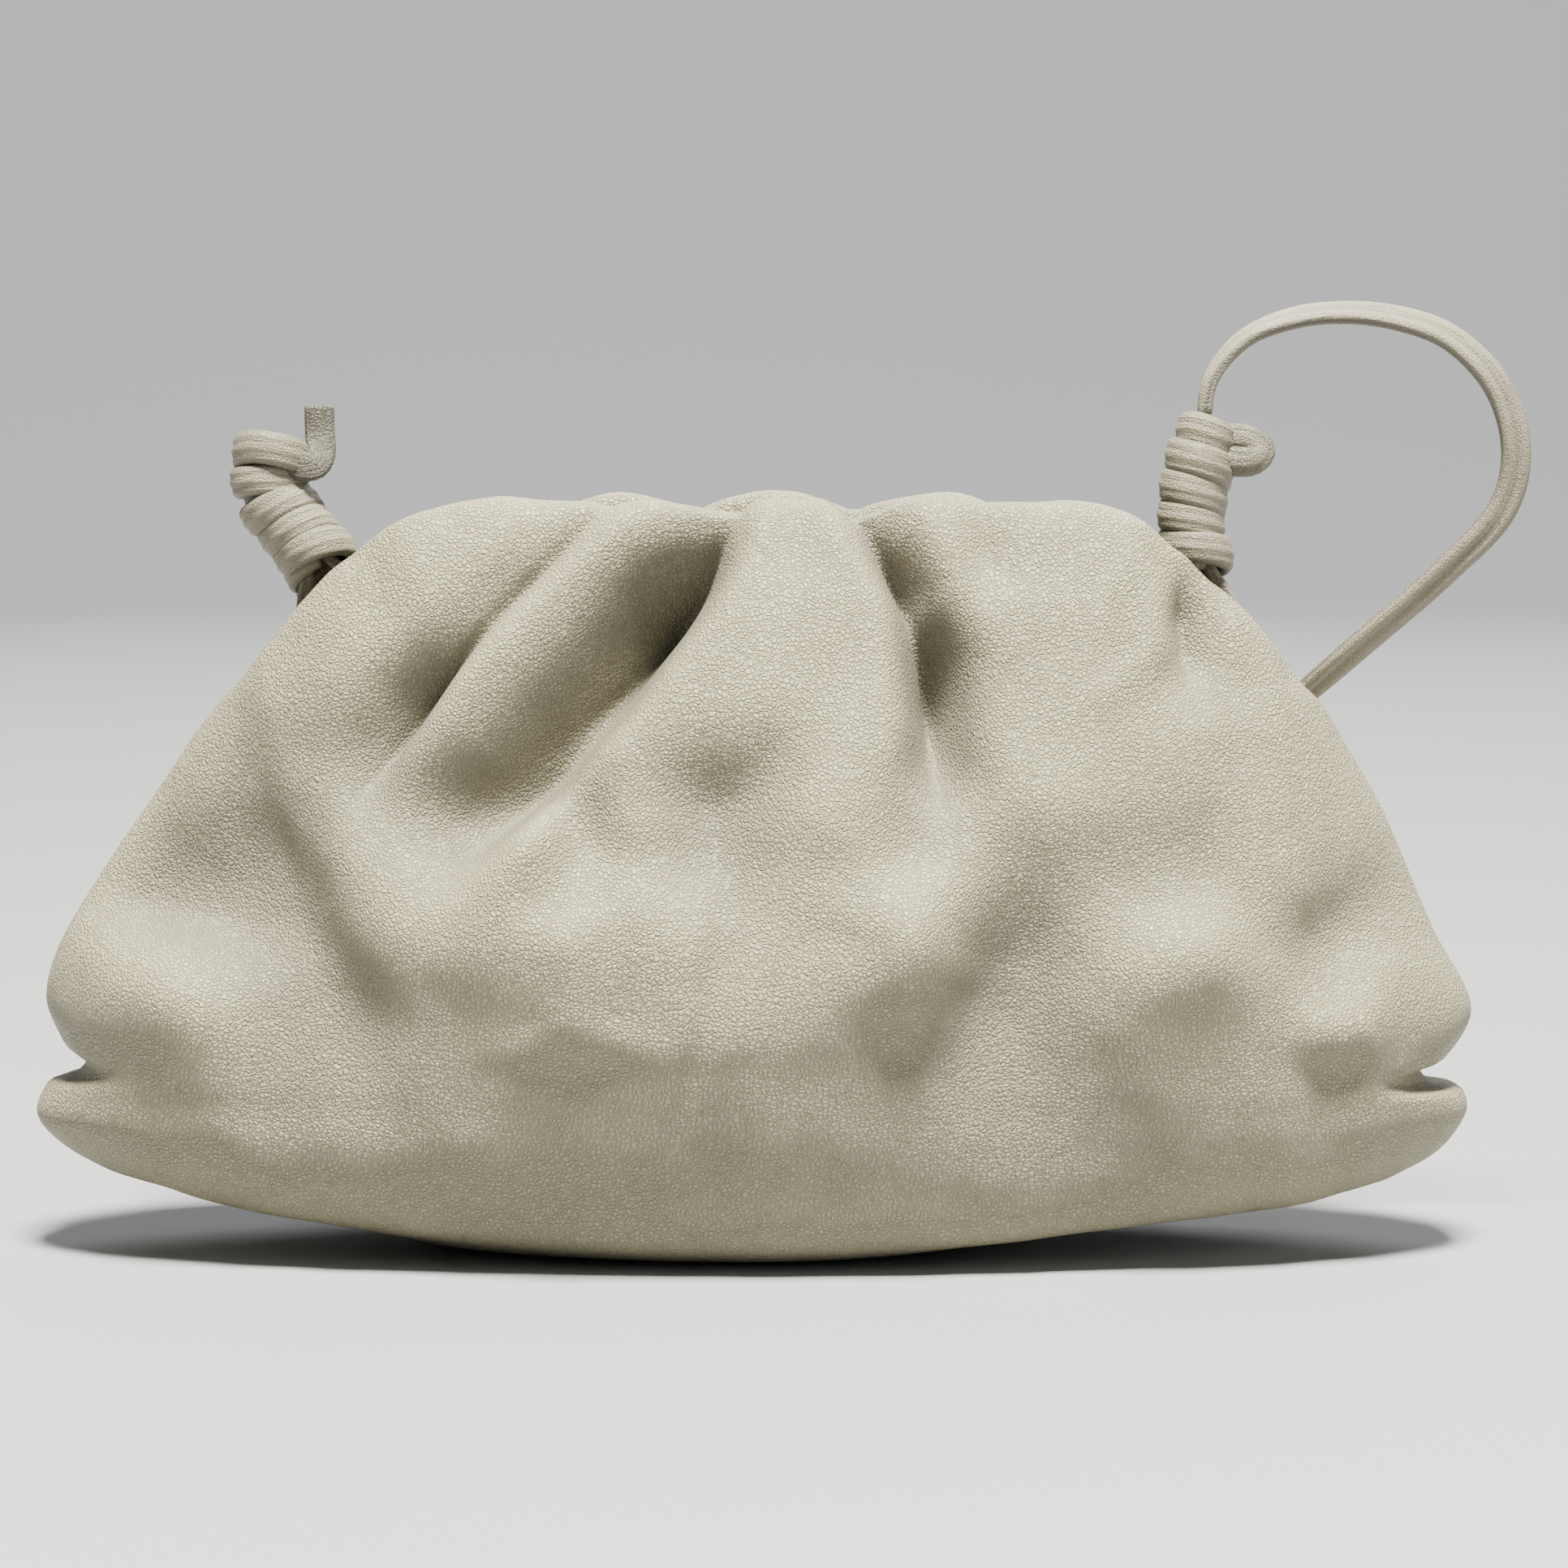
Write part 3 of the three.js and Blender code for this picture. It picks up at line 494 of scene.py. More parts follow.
wrap = {
    "thickness": 2.8 * mm,
    "stepsPerTurn": 72,
    "overrun": 0.30,        # share of a turn that tucks in at both ends
    "tuck": 2.4 * mm,
    "hold": 0.22,           # share of a turn over which the outermost wraps stay level
    "coreShare": 0.72,
    "ridge": 0.30 * mm,     # depth of the dips between the three ridges of each wrap
}


def addKnot(name, knot, node):
    # Winding point = axis at s + r (out cos a + back sin a), with a turning once for each
    # wrap while s climbs through the turns' places, and the front lifted by the lean
    axisRows = np.array([(a * 110, 0.0, u * 117) for a, u in knot["axis"]]) * mm
    axis = smoothCurve(axisRows, 40)
    axis = pick(axis, evenPlaces(axis, 0.2 * mm))
    length = np.linalg.norm(np.diff(axis, axis=0), axis=1).sum()
    turns = np.array(knot["turns"])
    count = len(turns)
    over, hold = wrap["overrun"], wrap["hold"]
    turn = np.linspace(-over, count + over, int((count + 2 * over) * wrap["stepsPerTurn"]))
    inside = np.clip((turn - hold) / (count - 2 * hold), 0.0, 1.0) * (count - 1)
    place, wide, size, shift = (np.interp(inside, np.arange(count), turns[:, i]) for i in range(4))
    tuckedLow = np.clip(-turn / over, 0.0, 1.0)
    tuckedHigh = np.clip((turn - count) / over, 0.0, 1.0)
    tucked = np.maximum(tuckedLow, tuckedHigh) ** 1.3
    radius = knot["radius"] * mm * size - wrap["thickness"] / 2 - wrap["tuck"] * tucked
    angle = -2 * np.pi * (turn + knot["start"])
    steps = place * (len(axis) - 1)
    centre = pick(axis, steps)
    upward = unit(pick(np.gradient(axis, axis=0), steps))
    back = np.array([[0.0, 1.0, 0.0]])
    out = unit(np.cross(back, upward))
    radial = out * np.cos(angle)[:, None] + back * np.sin(angle)[:, None]
    lift = -np.sin(angle) * radius * math.tan(math.radians(knot["lean"]))
    inward = (tuckedLow - tuckedHigh) * length / count * 0.25
    path = centre + radial * radius[:, None] + upward * (lift + inward)[:, None]
    path = path + out * (shift * mm)[:, None]
    pitch = length / count
    section = strapSection(pitch, wrap["thickness"], (-0.30, 0.34), wrap["ridge"], edge=0.98)
    tangent = unit(np.gradient(path, axis=0))
    across = unit(np.cross(radial, tangent))
    face = np.cross(tangent, across)
    rings = (path[:, None, :] + across[:, None, :] * (section[None, :, :1] * wide[:, None, None])
             + face[:, None, :] * section[None, :, 1:])
    core = np.linspace(0.20, 0.98, 24)
    coreCentre = pick(axis, core * (len(axis) - 1))
    coreOut = unit(np.cross(back, pick(np.gradient(axis, axis=0), core * (len(axis) - 1))))
    around = strap["around"]
    spin = 2 * np.pi * np.arange(around) / around
    coreRadius = knot["radius"] * mm * wrap["coreShare"] * np.sin(np.pi * np.linspace(0.08, 0.80, 24)) ** 0.3
    coreRings = coreCentre[:, None, :] + coreRadius[:, None, None] * (
        coreOut[:, None, :] * np.cos(spin)[None, :, None] + back[None] * np.sin(spin)[None, :, None])
    winding = ringSkin(rings)
    middle = ringSkin(coreRings)
    points = np.concatenate([winding[0], middle[0]])
    quads = np.concatenate([winding[1], middle[1] + len(winding[0])])
    tris = np.concatenate([winding[2], middle[2] + len(winding[0])])
    # the UVs follow the order of the corners: all the quads first, then the fans
    cuts = [winding[1].size * 2, middle[1].size * 2]
    uvs = np.concatenate([winding[3][:cuts[0]], middle[3][:cuts[1]],
                          winding[3][cuts[0]:], middle[3][cuts[1]:]])
    # Painted shade in the grooves and at the edges of the wraps, and full painted shade on the core between them
    hollow = np.concatenate([grooveShade(section, len(rings), 1.0), np.ones(len(middle[0]))])
    return meshPiece(name, points, quads, tris, uvs, [strapNappa], node,
                     {"hollow": hollow})


addKnot("left_knot", leftKnot, "knot_left")
addKnot("right_knot", rightKnot, "knot_right")
print("knots wound")


# Eyes: under each knot the strap passes round its pin and goes up into the knot again.
# Down is the distance below the knot's end and aside the distance from its axis.
eyeRoute = [(-3.6, 1.6), (-0.6, 2.9), (2.6, 4.9), (5.5, 5.5), (9.4, 3.9), (11.0, 0.0),
            (9.4, -3.9), (5.5, -5.5), (2.6, -4.9), (-0.6, -2.9), (-3.6, -1.6)]


def addEye(name, knot, node):
    # Route point = knot's end + down vector × down + side vector × aside, all at y = 0
    rows = np.array([(a * 110, 0.0, u * 117) for a, u in knot["axis"]]) * mm
    axis = smoothCurve(rows, 40)
    down = unit(axis[:1] - axis[1:2])
    side = unit(np.cross(down, [[0.0, 1.0, 0.0]]))
    route = np.array(eyeRoute) * mm
    path = smoothCurve(axis[:1] + down * route[:, :1] + side * route[:, 1:], 20)
    path = pick(path, evenPlaces(path, 0.7 * mm))
    faceWay = unit(np.cross(np.gradient(path, axis=0), [[0.0, 1.0, 0.0]]))
    section = strapSection(strap["width"], strap["thickness"], (-0.4, 0.4))
    rings = sweep(path, faceWay, section)
    points, quads, tris, uvs = ringSkin(rings)
    # Painted shade in the grooves and at the edges of the strap
    return meshPiece(name, points, quads, tris, uvs, [strapNappa], node,
                     {"hollow": grooveShade(section, len(rings), 1.0)})


addEye("left_eye", leftKnot, "eye_left")
addEye("right_eye", rightKnot, "eye_right")

# Tails: a short upright stub on the left, and a thicker curl on the right
leftTail = [
    (-71.0, -2.6, 121.6, -0.2, -1, 0.1),
    (-68.6, -3.0, 120.2, 0, -1, 0),
    (-66.7, -2.6, 120.3, 0.2, -1, 0),
    (-65.9, -1.2, 122.2, 0.2, -1, 0),
    (-66.1, -0.2, 125.2, 0, -1, 0),
    (-66.2, 0.0, 129.3, 0, -1, 0),
]
rightTail = [
    (69.6, 0.6, 124.0, 0, -1, 0.1),
    (72.4, 0.0, 124.3, 0, -1, 0.1),
    (75.0, -0.6, 124.0, 0.1, -1, 0),
    (76.9, -1.1, 122.5, 0.2, -1, 0),
    (75.6, -1.6, 121.0, 0.1, -1, -0.1),
    (73.3, -1.5, 120.8, 0, -1, -0.1),
    (71.0, -1.0, 121.2, 0, -1, -0.1),
]
stubBar = strapSection(4.5 * mm, 3.0 * mm, (-0.5, 0.0, 0.5), 0.16 * mm)
# The last argument is painted shade over the whole tail: heavy on the left stub, lighter on the right curl
strapPiece("left_tail", leftTail, stubBar, "tail_left", 0.6 * mm, 1.1)
curlBar = strapSection(4.7 * mm, 4.2 * mm, (-0.55, -0.05, 0.45), 0.55 * mm, 0.95)
strapPiece("right_tail", rightTail, curlBar, "tail_right", 0.6 * mm, 0.45)
print("eyes and tails swept")


# Sack
sack = {
    "halfWidth": 110 * mm, "halfDepth": 38 * mm, "height": 117 * mm, "wall": 2 * mm,
    "crestLevel": 15,
    "frontColumns": 330, "backColumns": 120, "crowding": 0.06,
    "beadPlace": 1.9, "beadSpread": 0.9, "foldSteps": 24, "flare": 1.6,
    "lipShare": 0.3, "lipStart": 0.88, "sideFade": 0.3,
    "wave": 0.20 * mm, "waveLength": 17 * mm, "fineWave": 0.05 * mm, "fineWaveLength": 6 * mm,
}
# Rows of faces up to each next level, on the outside and on the inside
outerSteps = [2, 3, 5, 9, 10, 6, 5, 10, 14, 22, 22, 19, 14, 9, 6, 6, 4]
innerSteps = [1, 1, 2, 3, 3, 2, 2, 3, 4, 5, 5, 5, 4, 3, 3, 3, 2]
levelColumns = ["reachLeft", "reachRight", "depth", "middle", "left", "right", "bow", "taper",
                "pinch", "nip"]
levelRows = np.array([
    (0, 0, 0, 0, 0, 0, 2, 1, 0, 0),
    (0.40, 0.24, 0.38, 0, 0, 0, 2, 1, 0, 0),
    (0.56, 0.46, 0.56, 0.010, 0.027, 0.031, 2, 1, 0, 0),
    (0.77, 0.77, 0.73, 0.041, 0.068, 0.065, 2, 1, 0, 0),
    (0.92, 0.93, 0.842, 0.107, 0.111, 0.113, 2, 1, 0, 0),
    (1.00, 0.99, 0.905, 0.162, 0.171, 0.171, 2, 1, 0, 0),
    (1.00, 1.00, 0.942, 0.212, 0.218, 0.209, 2, 1, 0, 0.01),
    (1.00, 1.00, 0.967, 0.260, 0.246, 0.235, 2, 1, 0, 0.045),
    (0.99, 1.00, 0.985, 0.325, 0.333, 0.316, 2, 1, 0, 0),
    (0.955, 0.945, 0.965, 0.42, 0.427, 0.427, 2, 0.97, 0, 0),
    (0.855, 0.88, 0.865, 0.55, 0.573, 0.564, 2.4, 0.92, 0, 0),
    (0.76, 0.80, 0.75, 0.68, 0.70, 0.70, 3.2, 0.80, 0, 0),
    (0.718, 0.758, 0.62, 0.80, 0.744, 0.744, 4.2, 0.65, 0, 0),
    (0.691, 0.735, 0.475, 0.91, 0.772, 0.772, 5, 0.50, 0, 0),
    (0.677, 0.722, 0.365, 0.975, 0.786, 0.786, 5, 0.45, 0.06, 0),
    (0.664, 0.709, 0.325, 0.990, 0.795, 0.799, 5, 0.42, 0.30, 0),
    (0.657, 0.704, 0.255, 0.985, 0.785, 0.789, 5, 0.37, 0.46, 0),
    (0.655, 0.700, 0.210, 0.950, 0.765, 0.765, 5, 0.33, 0.50, 0),
])
# Folds along bent lines of three points: across and up are shares of the half width and of
# the height, depth of the half depth, widths of the half width, beads of the depth and fades
# of the length. The crease is a narrow valley on the line, and by its lean the leather beside
# it hangs over it, to the left where it is above 0. Those three are in millimetres.
foldColumns = ["across0", "up0", "across1", "up1", "across2", "up2", "depth", "leftWidth",
               "rightWidth", "leftBead", "rightBead", "fadeIn", "fadeOut", "crease",
               "creaseWidth", "lean"]
frontFolds = [
    (-0.12, 1.05, -0.36, 0.87, -0.57, 0.60, 0.090, 0.045, 0.022, 0, 0, 0.05, 0.35, 1.5, 1.1, 0.4),
    (-0.36, 0.85, -0.48, 0.73, -0.60, 0.55, 0.160, 0.050, 0.026, 0, 0, 0.50, 0.45, 0.6, 1.4, 0.4),
    (0.01, 1.05, -0.12, 0.79, -0.53, 0.43, 0.430, 0.078, 0.036, 0, 0, 0.36, 0.30, 0.5, 1.6, 0.2),
    (0.01, 1.04, -0.09, 0.85, -0.33, 0.66, 0.060, 0.050, 0.022, 0, 0, 0.08, 0.50, 1.6, 1.1, 0.3),
    (0.09, 1.04, 0.274, 0.86, 0.25, 0.58, 0.250, 0.024, 0.044, 0, 0, 0.04, 0.60, 1.8, 1.1, -0.5),
    (0.23, 0.87, 0.268, 0.75, 0.240, 0.50, 0.300, 0.034, 0.036, 0, 0, 0.50, 0.50, 0.8, 1.6, 0),
    (0.245, 0.62, 0.215, 0.56, 0.16, 0.44, 0.070, 0.060, 0.055, 0, 0, 0.50, 0.50, 0.2, 1.8, 0),
    (-0.19, 0.61, -0.05, 0.62, 0.09, 0.56, 0.195, 0.140, 0.080, 0, 0, 0.50, 0.50, 0, 1, 0),
    (0.00, 0.62, 0.04, 0.49, 0.035, 0.30, 0.080, 0.070, 0.080, 0, 0, 0.50, 0.50, 0, 1, 0),
    (-0.255, 0.69, -0.24, 0.59, -0.20, 0.45, 0.140, 0.050, 0.060, 0, 0, 0.50, 0.50, 0, 1, 0),
    (-0.74, 0.74, -0.63, 0.45, -0.50, 0.12, 0.245, 0.115, 0.090, 0, 0, 0.45, 0.50, 0.2, 2.4, 0),
    (-0.97, 0.52, -0.81, 0.465, -0.62, 0.49, 0.200, 0.065, 0.110, 0, 0, 0.40, 0.45, 0, 1, 0),
    (0.40, 0.62, 0.37, 0.40, 0.26, 0.10, 0.240, 0.095, 0.105, 0, 0, 0.45, 0.50, 0, 1, 0),
    (0.96, 0.54, 0.80, 0.42, 0.62, 0.35, 0.100, 0.066, 0.070, 0, 0, 0.40, 0.50, 0, 1, 0),
    (0.90, 0.27, 0.80, 0.25, 0.70, 0.22, 0.035, 0.060, 0.060, 0, 0, 0.50, 0.50, 0, 1, 0),
    (0.40, 0.50, 0.56, 0.52, 0.74, 0.55, 0.070, 0.080, 0.100, 0, 0, 0.40, 0.40, 0, 1, 0),
    (0.590, 0.92, 0.60, 0.82, 0.605, 0.68, 0.130, 0.032, 0.038, 0.15, 0, 0.40, 0.50, 0.8, 1.3, 0),
    (0.06, 1.05, 0.06, 0.96, 0.05, 0.86, 0.060, 0.030, 0.030, 0, 0, 0.05, 0.60, 0.3, 1.2, 0),
    (0.31, 1.05, 0.31, 0.94, 0.33, 0.82, 0.055, 0.032, 0.040, 0, 0, 0.05, 0.60, 0.4, 1.2, 0),
    (-0.96, 0.36, -0.77, 0.355, -0.56, 0.26, -0.085, 0.080, 0.065, 0, 0, 0.40, 0.50, 0, 1, 0),
    (0.42, 0.38, 0.60, 0.40, 0.78, 0.46, -0.100, 0.065, 0.065, 0, 0, 0.50, 0.50, 0, 1, 0),
    (0.70, 0.305, 0.79, 0.315, 0.89, 0.31, -0.065, 0.045, 0.040, 0, 0, 0.40, 0.40, 0, 1, 0),
    (-0.22, 0.67, -0.32, 0.55, -0.46, 0.39, -0.110, 0.058, 0.065, 0, 0, 0.50, 0.50, 0, 1, 0),
    (-0.25, 0.50, -0.24, 0.39, -0.235, 0.26, -0.060, 0.050, 0.050, 0, 0, 0.35, 0.35, 0, 1, 0),
    (0.27, 0.54, 0.21, 0.42, 0.14, 0.30, -0.090, 0.055, 0.065, 0, 0, 0.50, 0.50, 0, 1, 0),
    (0.38, 1.02, 0.49, 1.00, 0.59, 0.92, -0.085, 0.060, 0.060, 0, 0, 0.30, 0.40, 0, 1, 0),
    (-0.28, 1.02, -0.43, 1.01, -0.56, 0.92, -0.065, 0.060, 0.060, 0, 0, 0.30, 0.40, 0, 1, 0),
    (-0.80, 0.47, 0.00, 0.54, 0.80, 0.47, -0.050, 0.150, 0.150, 0, 0, 0.30, 0.30, 0, 1, 0),
    (-0.80, 0.15, 0.00, 0.11, 0.80, 0.15, 0.055, 0.110, 0.160, 0, 0, 0.25, 0.25, 0, 1, 0),
]
backFolds = [
    (-0.24, 1.05, -0.34, 0.88, -0.46, 0.64, 0.140, 0.070, 0.045, 0, 0.10, 0.05, 0.45, 1.6, 1.6, 1.2),
    (-0.07, 1.05, -0.10, 0.82, -0.22, 0.56, 0.170, 0.060, 0.050, 0, 0.05, 0.05, 0.45, 2.2, 1.6, 1.4),
    (0.12, 1.05, 0.18, 0.84, 0.31, 0.58, 0.170, 0.050, 0.065, 0.05, 0, 0.05, 0.45, 2.2, 1.6, -1.4),
    (0.33, 1.05, 0.42, 0.88, 0.53, 0.70, 0.130, 0.045, 0.065, 0.10, 0, 0.05, 0.45, 1.6, 1.6, -1.2),
    (-0.46, 0.62, -0.52, 0.42, -0.40, 0.16, 0.100, 0.080, 0.080, 0.15, 0, 0.35, 0.35, 0.4, 2.2, 0),
    (0.50, 0.60, 0.47, 0.40, 0.36, 0.18, 0.095, 0.080, 0.080, 0, 0.15, 0.35, 0.35, 0.4, 2.2, 0),
    (0.03, 0.66, 0.06, 0.50, 0.00, 0.30, 0.085, 0.080, 0.070, 0, 0, 0.35, 0.45, 0, 1, 0),
    (-0.88, 0.52, -0.78, 0.43, -0.64, 0.40, 0.090, 0.050, 0.055, 0.20, 0, 0.35, 0.40, 0.7, 1.8, 0),
]


def smoothStep(start, end, value):
    # 0 before start, 1 after end and 3t² − 2t³ between
    t = np.clip((value - start) / (end - start), 0.0, 1.0)
    return t * t * (3 - 2 * t)


def atLevel(column, level):
    # A column of the level table, by Catmull-Rom through its rows
    values = levelRows[:, levelColumns.index(column)]
    last = len(values) - 1
    row = np.minimum(level.astype(int), last - 1)
    t = level - row
    a, b, c, d = (values[np.clip(row + i, 0, last)] for i in (-1, 0, 1, 2))
    return b + 0.5 * t * (c - a + t * (2 * a - 5 * b + 4 * c - d + t * (3 * (b - c) + d - a)))


def sackForm(angle, level):
    # x = reach (1 − nip |cos|^12) cos, y = depth |sin|^taper (1 − pinch sin⁴) to the side of the sine, and
    # z = (middle + (end − middle) |cos|^bow) height
    cosine, sine = np.cos(angle), np.sin(angle)
    isLeft = cosine < 0
    reach = np.where(isLeft, atLevel("reachLeft", level), atLevel("reachRight", level))
    reach = reach * (1 - atLevel("nip", level) * np.abs(cosine) ** 12)
    depth = atLevel("depth", level) * np.abs(sine) ** atLevel("taper", level)
    depth = depth * (1 - atLevel("pinch", level) * sine ** 4)
    middle = atLevel("middle", level)
    end = np.where(isLeft, atLevel("left", level), atLevel("right", level))
    height = middle + (end - middle) * np.abs(cosine) ** atLevel("bow", level)
    x = reach * cosine * sack["halfWidth"]
    y = np.sign(sine) * depth * sack["halfDepth"]
    return np.stack([x, y, np.maximum(height, 0) * sack["height"]], -1)


def sackNormal(angle, level):
    # Cross product of the small steps round the sack and up it
    step = 0.01
    last = len(levelRows) - 1.0
    around = sackForm(angle + step, level) - sackForm(angle - step, level)
    up = sackForm(angle, np.minimum(level + step, last)) - sackForm(angle, np.maximum(level - step, 0))
    return unit(np.cross(around, up))


def foldPlace(fold, x, height):
    # Nearest point of a fold's bent line, which is a quadratic Bezier curve: the share of its
    # length, the signed distance aside, and the way across the line there
    t = np.linspace(0, 1, sack["foldSteps"] + 1)
    shares = np.stack([(1 - t) ** 2, 2 * t * (1 - t), t ** 2])
    lineX = (np.array([fold["across0"], fold["across1"], fold["across2"]]) @ shares) * sack["halfWidth"]
    lineZ = (np.array([fold["up0"], fold["up1"], fold["up2"]]) @ shares) * sack["height"]
    nearest = np.full(x.shape, np.inf)
    along, aside = np.zeros(x.shape), np.zeros(x.shape)
    wayX, wayZ = np.zeros(x.shape), np.zeros(x.shape)
    for i in range(sack["foldSteps"]):
        runX, runZ = lineX[i + 1] - lineX[i], lineZ[i + 1] - lineZ[i]
        size = math.hypot(runX, runZ)
        offX, offZ = x - lineX[i], height - lineZ[i]
        share = np.clip((offX * runX + offZ * runZ) / size ** 2, 0, 1)
        distance = np.hypot(offX - share * runX, offZ - share * runZ)
        closer = distance < nearest
        nearest = np.where(closer, distance, nearest)
        side = np.where(runX * offZ - runZ * offX < 0, -1.0, 1.0)
        along = np.where(closer, (i + share) / sack["foldSteps"], along)
        aside = np.where(closer, side * distance, aside)
        wayX = np.where(closer, -runZ / size, wayX)
        wayZ = np.where(closer, runX / size, wayZ)
    return along, aside, wayX, wayZ


def foldsAt(angle, level):
    # Outward push = sum of fade depth (bead bell − valley bell) and of the creases' bells,
    # and sideways shift = fade lean × the bell of the leather that hangs over
    form = sackForm(angle, level)
    crest = sackForm(angle, np.full(level.shape, float(sack["crestLevel"])))
    x = form[..., 0]
    height = np.where(level <= sack["crestLevel"], form[..., 2], 2 * crest[..., 2] - form[..., 2])
    sine = np.sin(angle)
    side = smoothStep(0, sack["sideFade"], np.abs(sine))
    lip = 1 - (1 - sack["lipShare"]) * smoothStep(sack["lipStart"], 1, height / sack["height"])
    push = np.zeros(x.shape)
    shift = np.zeros(x.shape + (3,))
    for rows, isSide in ((frontFolds, sine < 0), (backFolds, sine >= 0)):
        for row in rows:
            fold = dict(zip(foldColumns, row))
            along, aside, wayX, wayZ = foldPlace(fold, x, height)
            width = np.where(aside < 0, fold["leftWidth"], fold["rightWidth"]) * sack["halfWidth"]
            width = width * (1 + sack["flare"] * (1 - smoothStep(0, fold["fadeOut"], 1 - along)))
            bead = np.where(aside < 0, fold["leftBead"], fold["rightBead"])
            reach = np.abs(aside) / width
            fade = smoothStep(0, fold["fadeIn"], along) * smoothStep(0, fold["fadeOut"], 1 - along)
            fade = fade * isSide
            roll = bead * np.exp(-((reach - sack["beadPlace"]) / sack["beadSpread"]) ** 2)
            push += fold["depth"] * sack["halfDepth"] * fade * (roll - np.exp(-reach ** 2))
            if fold["crease"] > 0:
                narrow = np.exp(-(aside / (fold["creaseWidth"] * mm)) ** 2)
                push -= fade * fold["crease"] * mm * narrow
            if fold["lean"] != 0:
                hanging = smoothStep(0, 1.2 * mm, aside * np.sign(fold["lean"]))
                hanging = hanging * np.exp(-np.abs(aside) / (4.5 * mm))
                amount = -fold["lean"] * mm * fade * hanging
                shift[..., 0] += amount * wayX
                shift[..., 2] += amount * wayZ
    return push * side * lip, shift * (side * lip)[..., None]


def plainWaves(points, seed, length, count):
    # Mean of sine waves that run in seeded directions at about one wavelength
    draw = np.random.default_rng(seed)
    ways = unit(draw.normal(size=(count, 3))) * (2 * np.pi / length)
    ways = ways * draw.uniform(0.7, 1.4, (count, 1))
    phases = draw.uniform(0, 2 * np.pi, count)
    return np.sin(points @ ways.T + phases).sum(axis=-1) / math.sqrt(count)


sideNotches = [(-1, 29.0, 2.2, 1.5, 93), (1, 27.4, 3.0, 1.3, 92)]


def notchesAt(form):
    # Bells over the height at both ends, growing from an inner reach to the side itself
    push = np.zeros(form.shape[:-1])
    for side, height, depth, width, reach in sideNotches:
        bell = np.exp(-((form[..., 2] / mm - height) / width) ** 2)
        push -= depth * mm * bell * smoothStep(reach, reach + 12, side * form[..., 0] / mm)
    return push


def wallPoints(angle, level, inset):
    # Form, plus the folds along the normal, or down at the lip, less the inset
    form = sackForm(angle, level)
    normal = sackNormal(angle, level)
    folds, shift = foldsAt(angle, level)
    push = folds + notchesAt(form)
    onWall = (level <= sack["crestLevel"])[..., None]
    way = np.where(onWall, normal, upright)
    shift = shift - normal * (shift * normal).sum(axis=-1, keepdims=True)
    points = form + way * push[..., None] + np.where(onWall, shift, 0)
    free = smoothStep(1 * mm, 9 * mm, form[..., 2]) * smoothStep(0, 0.25, np.abs(np.sin(angle)) + 0.1)
    waves = (sack["wave"] * plainWaves(form, 3, sack["waveLength"], 9)
             + sack["fineWave"] * plainWaves(form, 8, sack["fineWaveLength"], 9))
    points = points + normal * (free * waves - inset)[..., None]
    points[..., 2] = np.maximum(points[..., 2], inset)
    return points, push


def stepsOf(counts):
    # Levels at which the rows of faces lie
    return np.concatenate([i + np.arange(n) / n for i, n in enumerate(counts)])


def addSack():
    # Rings up the outside, over a rounded rim, and down the inside again
    back = np.pi * np.arange(sack["backColumns"]) / sack["backColumns"]
    share = np.arange(sack["frontColumns"]) / sack["frontColumns"]
    front = np.pi + np.pi * share + sack["crowding"] * np.sin(2 * np.pi * share)
    angles = np.concatenate([back, front])
    last = float(len(levelRows) - 1)
    outer = np.concatenate([stepsOf(outerSteps)[1:], [last]])
    inner = np.concatenate([[last], stepsOf(innerSteps)[1:][::-1]])
    wall = sack["wall"]
    outside, outPush = wallPoints(*np.meshgrid(angles, outer), 0.0)
    inside, inPush = wallPoints(*np.meshgrid(angles, inner), wall)
    edgeWay = unit((outside[-1] - outside[-2]))
    edge = (outside[-1] + inside[0]) / 2 + edgeWay * 0.35 * wall
    rings = np.concatenate([outside, edge[None], inside])
    push = np.concatenate([outPush, outPush[-1:], inPush]).ravel()
    points, quads, tris, uvs = ringSkin(rings)
    # Painted shade: darker colour in the fold valleys, full at 6 mm deep
    hollow = np.concatenate([np.clip(-push / (6 * mm), 0, 1), [0, 0]])
    item = meshPiece("pouch_leather", points, quads, tris, uvs, [sackNappa, suedeInside], "pouch",
                     {"hollow": hollow})
    faceRow = np.arange(len(quads)) // len(angles)
    isInside = np.concatenate([faceRow > len(outer), np.arange(len(tris)) >= len(angles)])
    item.data.polygons.foreach_set("material_index", isInside.astype(np.int32))
    return item


addSack()
print("sack formed")

# Pins stay as they are, with a metal of their own
for node in ("pin_left", "pin_right"):
    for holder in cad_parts[node].material_slots:
        holder.material = pinSteel


# Studio: a pale round floor that sweeps up into a wall, and soft lights
studio = {
    "flat": 2.0, "sweep": 0.9, "wall": 1.6,
    "keyPlace": (0.06, -0.45, 1.45), "keySize": 0.34, "keyPower": 200.0, "keyColour": "#fffbf2",
    "fillPlace": (1.2, -0.9, 0.7), "fillSize": 0.9, "fillPower": 9.0,
    "backPlace": (0.2, 1.3, 1.4), "backSize": 1.2, "backPower": 30.0,
    "wallPlace": (0.0, 1.1, 1.6), "wallAim": (0.0, 2.6, 0.6), "wallSize": 1.2,
    "wallPower": 60.0,
    "sky": 0.07,
}


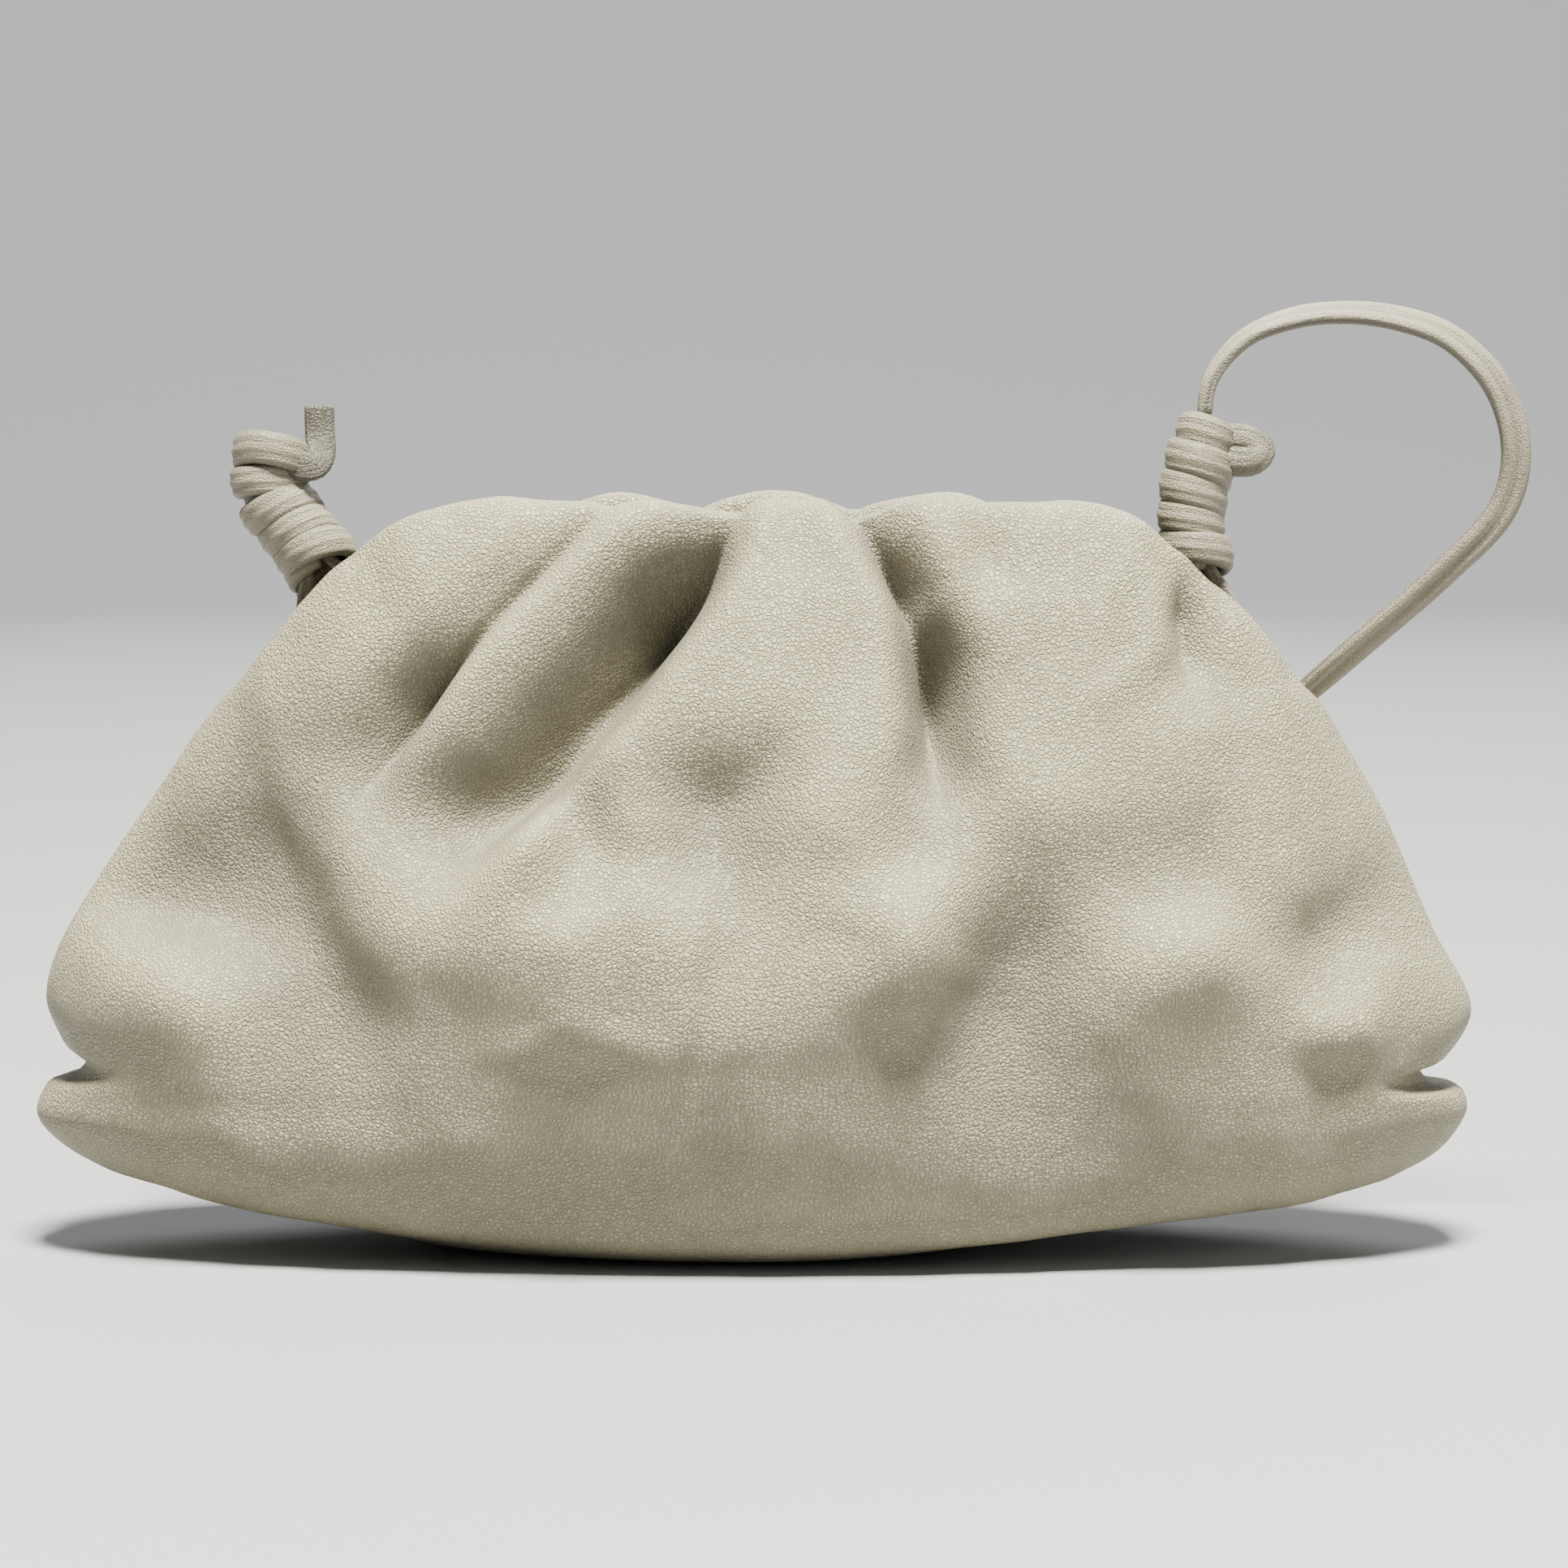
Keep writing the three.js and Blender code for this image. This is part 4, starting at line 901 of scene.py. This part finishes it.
def addFloor():
    # A profile turned round the Z axis: flat, a quarter circle up, and a straight wall
    curve = np.linspace(0, np.pi / 2, 16)
    radius = np.concatenate([[0.4, 1.2], studio["flat"] + studio["sweep"] * np.sin(curve),
                             [studio["flat"] + studio["sweep"]]])
    height = np.concatenate([[0, 0], studio["sweep"] * (1 - np.cos(curve)), [studio["wall"]]])
    turn = 2 * np.pi * np.arange(96) / 96
    rings = np.stack([radius[:, None] * np.cos(turn), radius[:, None] * np.sin(turn),
                      np.repeat(height[:, None], 96, axis=1)], -1)
    points, quads, tris, _ = ringSkin(rings)
    faces = np.concatenate([quads[:, ::-1]]).tolist() + tris[:96, ::-1].tolist()
    mesh = bpy.data.meshes.new("studio_floor")
    mesh.from_pydata(points.tolist(), [], faces)
    mesh.polygons.foreach_set("use_smooth", np.ones(len(faces), dtype=bool))
    # Matt white seamless paper
    material, tree, shader, place = newMaterial("seamless_paper")
    fibre = addNode(tree, "ShaderNodeTexNoise", {"Vector": place, "Scale": 400.0})
    gloss = addNode(tree, "ShaderNodeMapRange",
                    {"Value": fibre.outputs["Fac"], "To Min": 0.7, "To Max": 0.85})
    tree.links.new(gloss.outputs["Result"], shader.inputs["Roughness"])
    shader.inputs["Base Color"].default_value = linearColour("#87888a")
    shader.inputs["Specular IOR Level"].default_value = 0.2
    mesh.materials.append(material)
    item = bpy.data.objects.new("studio_floor", mesh)
    bpy.context.scene.collection.objects.link(item)


def addLight(name, place, size, power, colour="#ffffff", aim=(0.0, 0.0, 0.06)):
    # A square soft box that looks at the bag, or at a point of its own
    data = bpy.data.lights.new(name, "AREA")
    data.size = size
    data.energy = power
    data.color = linearColour(colour)[:3]
    item = bpy.data.objects.new(name, data)
    item.location = place
    way = Vector(aim) - Vector(place)
    item.rotation_euler = way.to_track_quat("-Z", "Y").to_euler()
    bpy.context.scene.collection.objects.link(item)


addFloor()
addLight("key_light", studio["keyPlace"], studio["keySize"], studio["keyPower"],
         studio["keyColour"])
addLight("fill_light", studio["fillPlace"], studio["fillSize"], studio["fillPower"])
addLight("back_light", studio["backPlace"], studio["backSize"], studio["backPower"])
addLight("wall_light", studio["wallPlace"], studio["wallSize"], studio["wallPower"],
         aim=studio["wallAim"])
world = bpy.data.worlds.new("studio_sky")
world.use_nodes = True
world.node_tree.nodes["Background"].inputs["Color"].default_value = linearColour("#ffffff")
world.node_tree.nodes["Background"].inputs["Strength"].default_value = studio["sky"]
bpy.context.scene.world = world
print("studio lit")
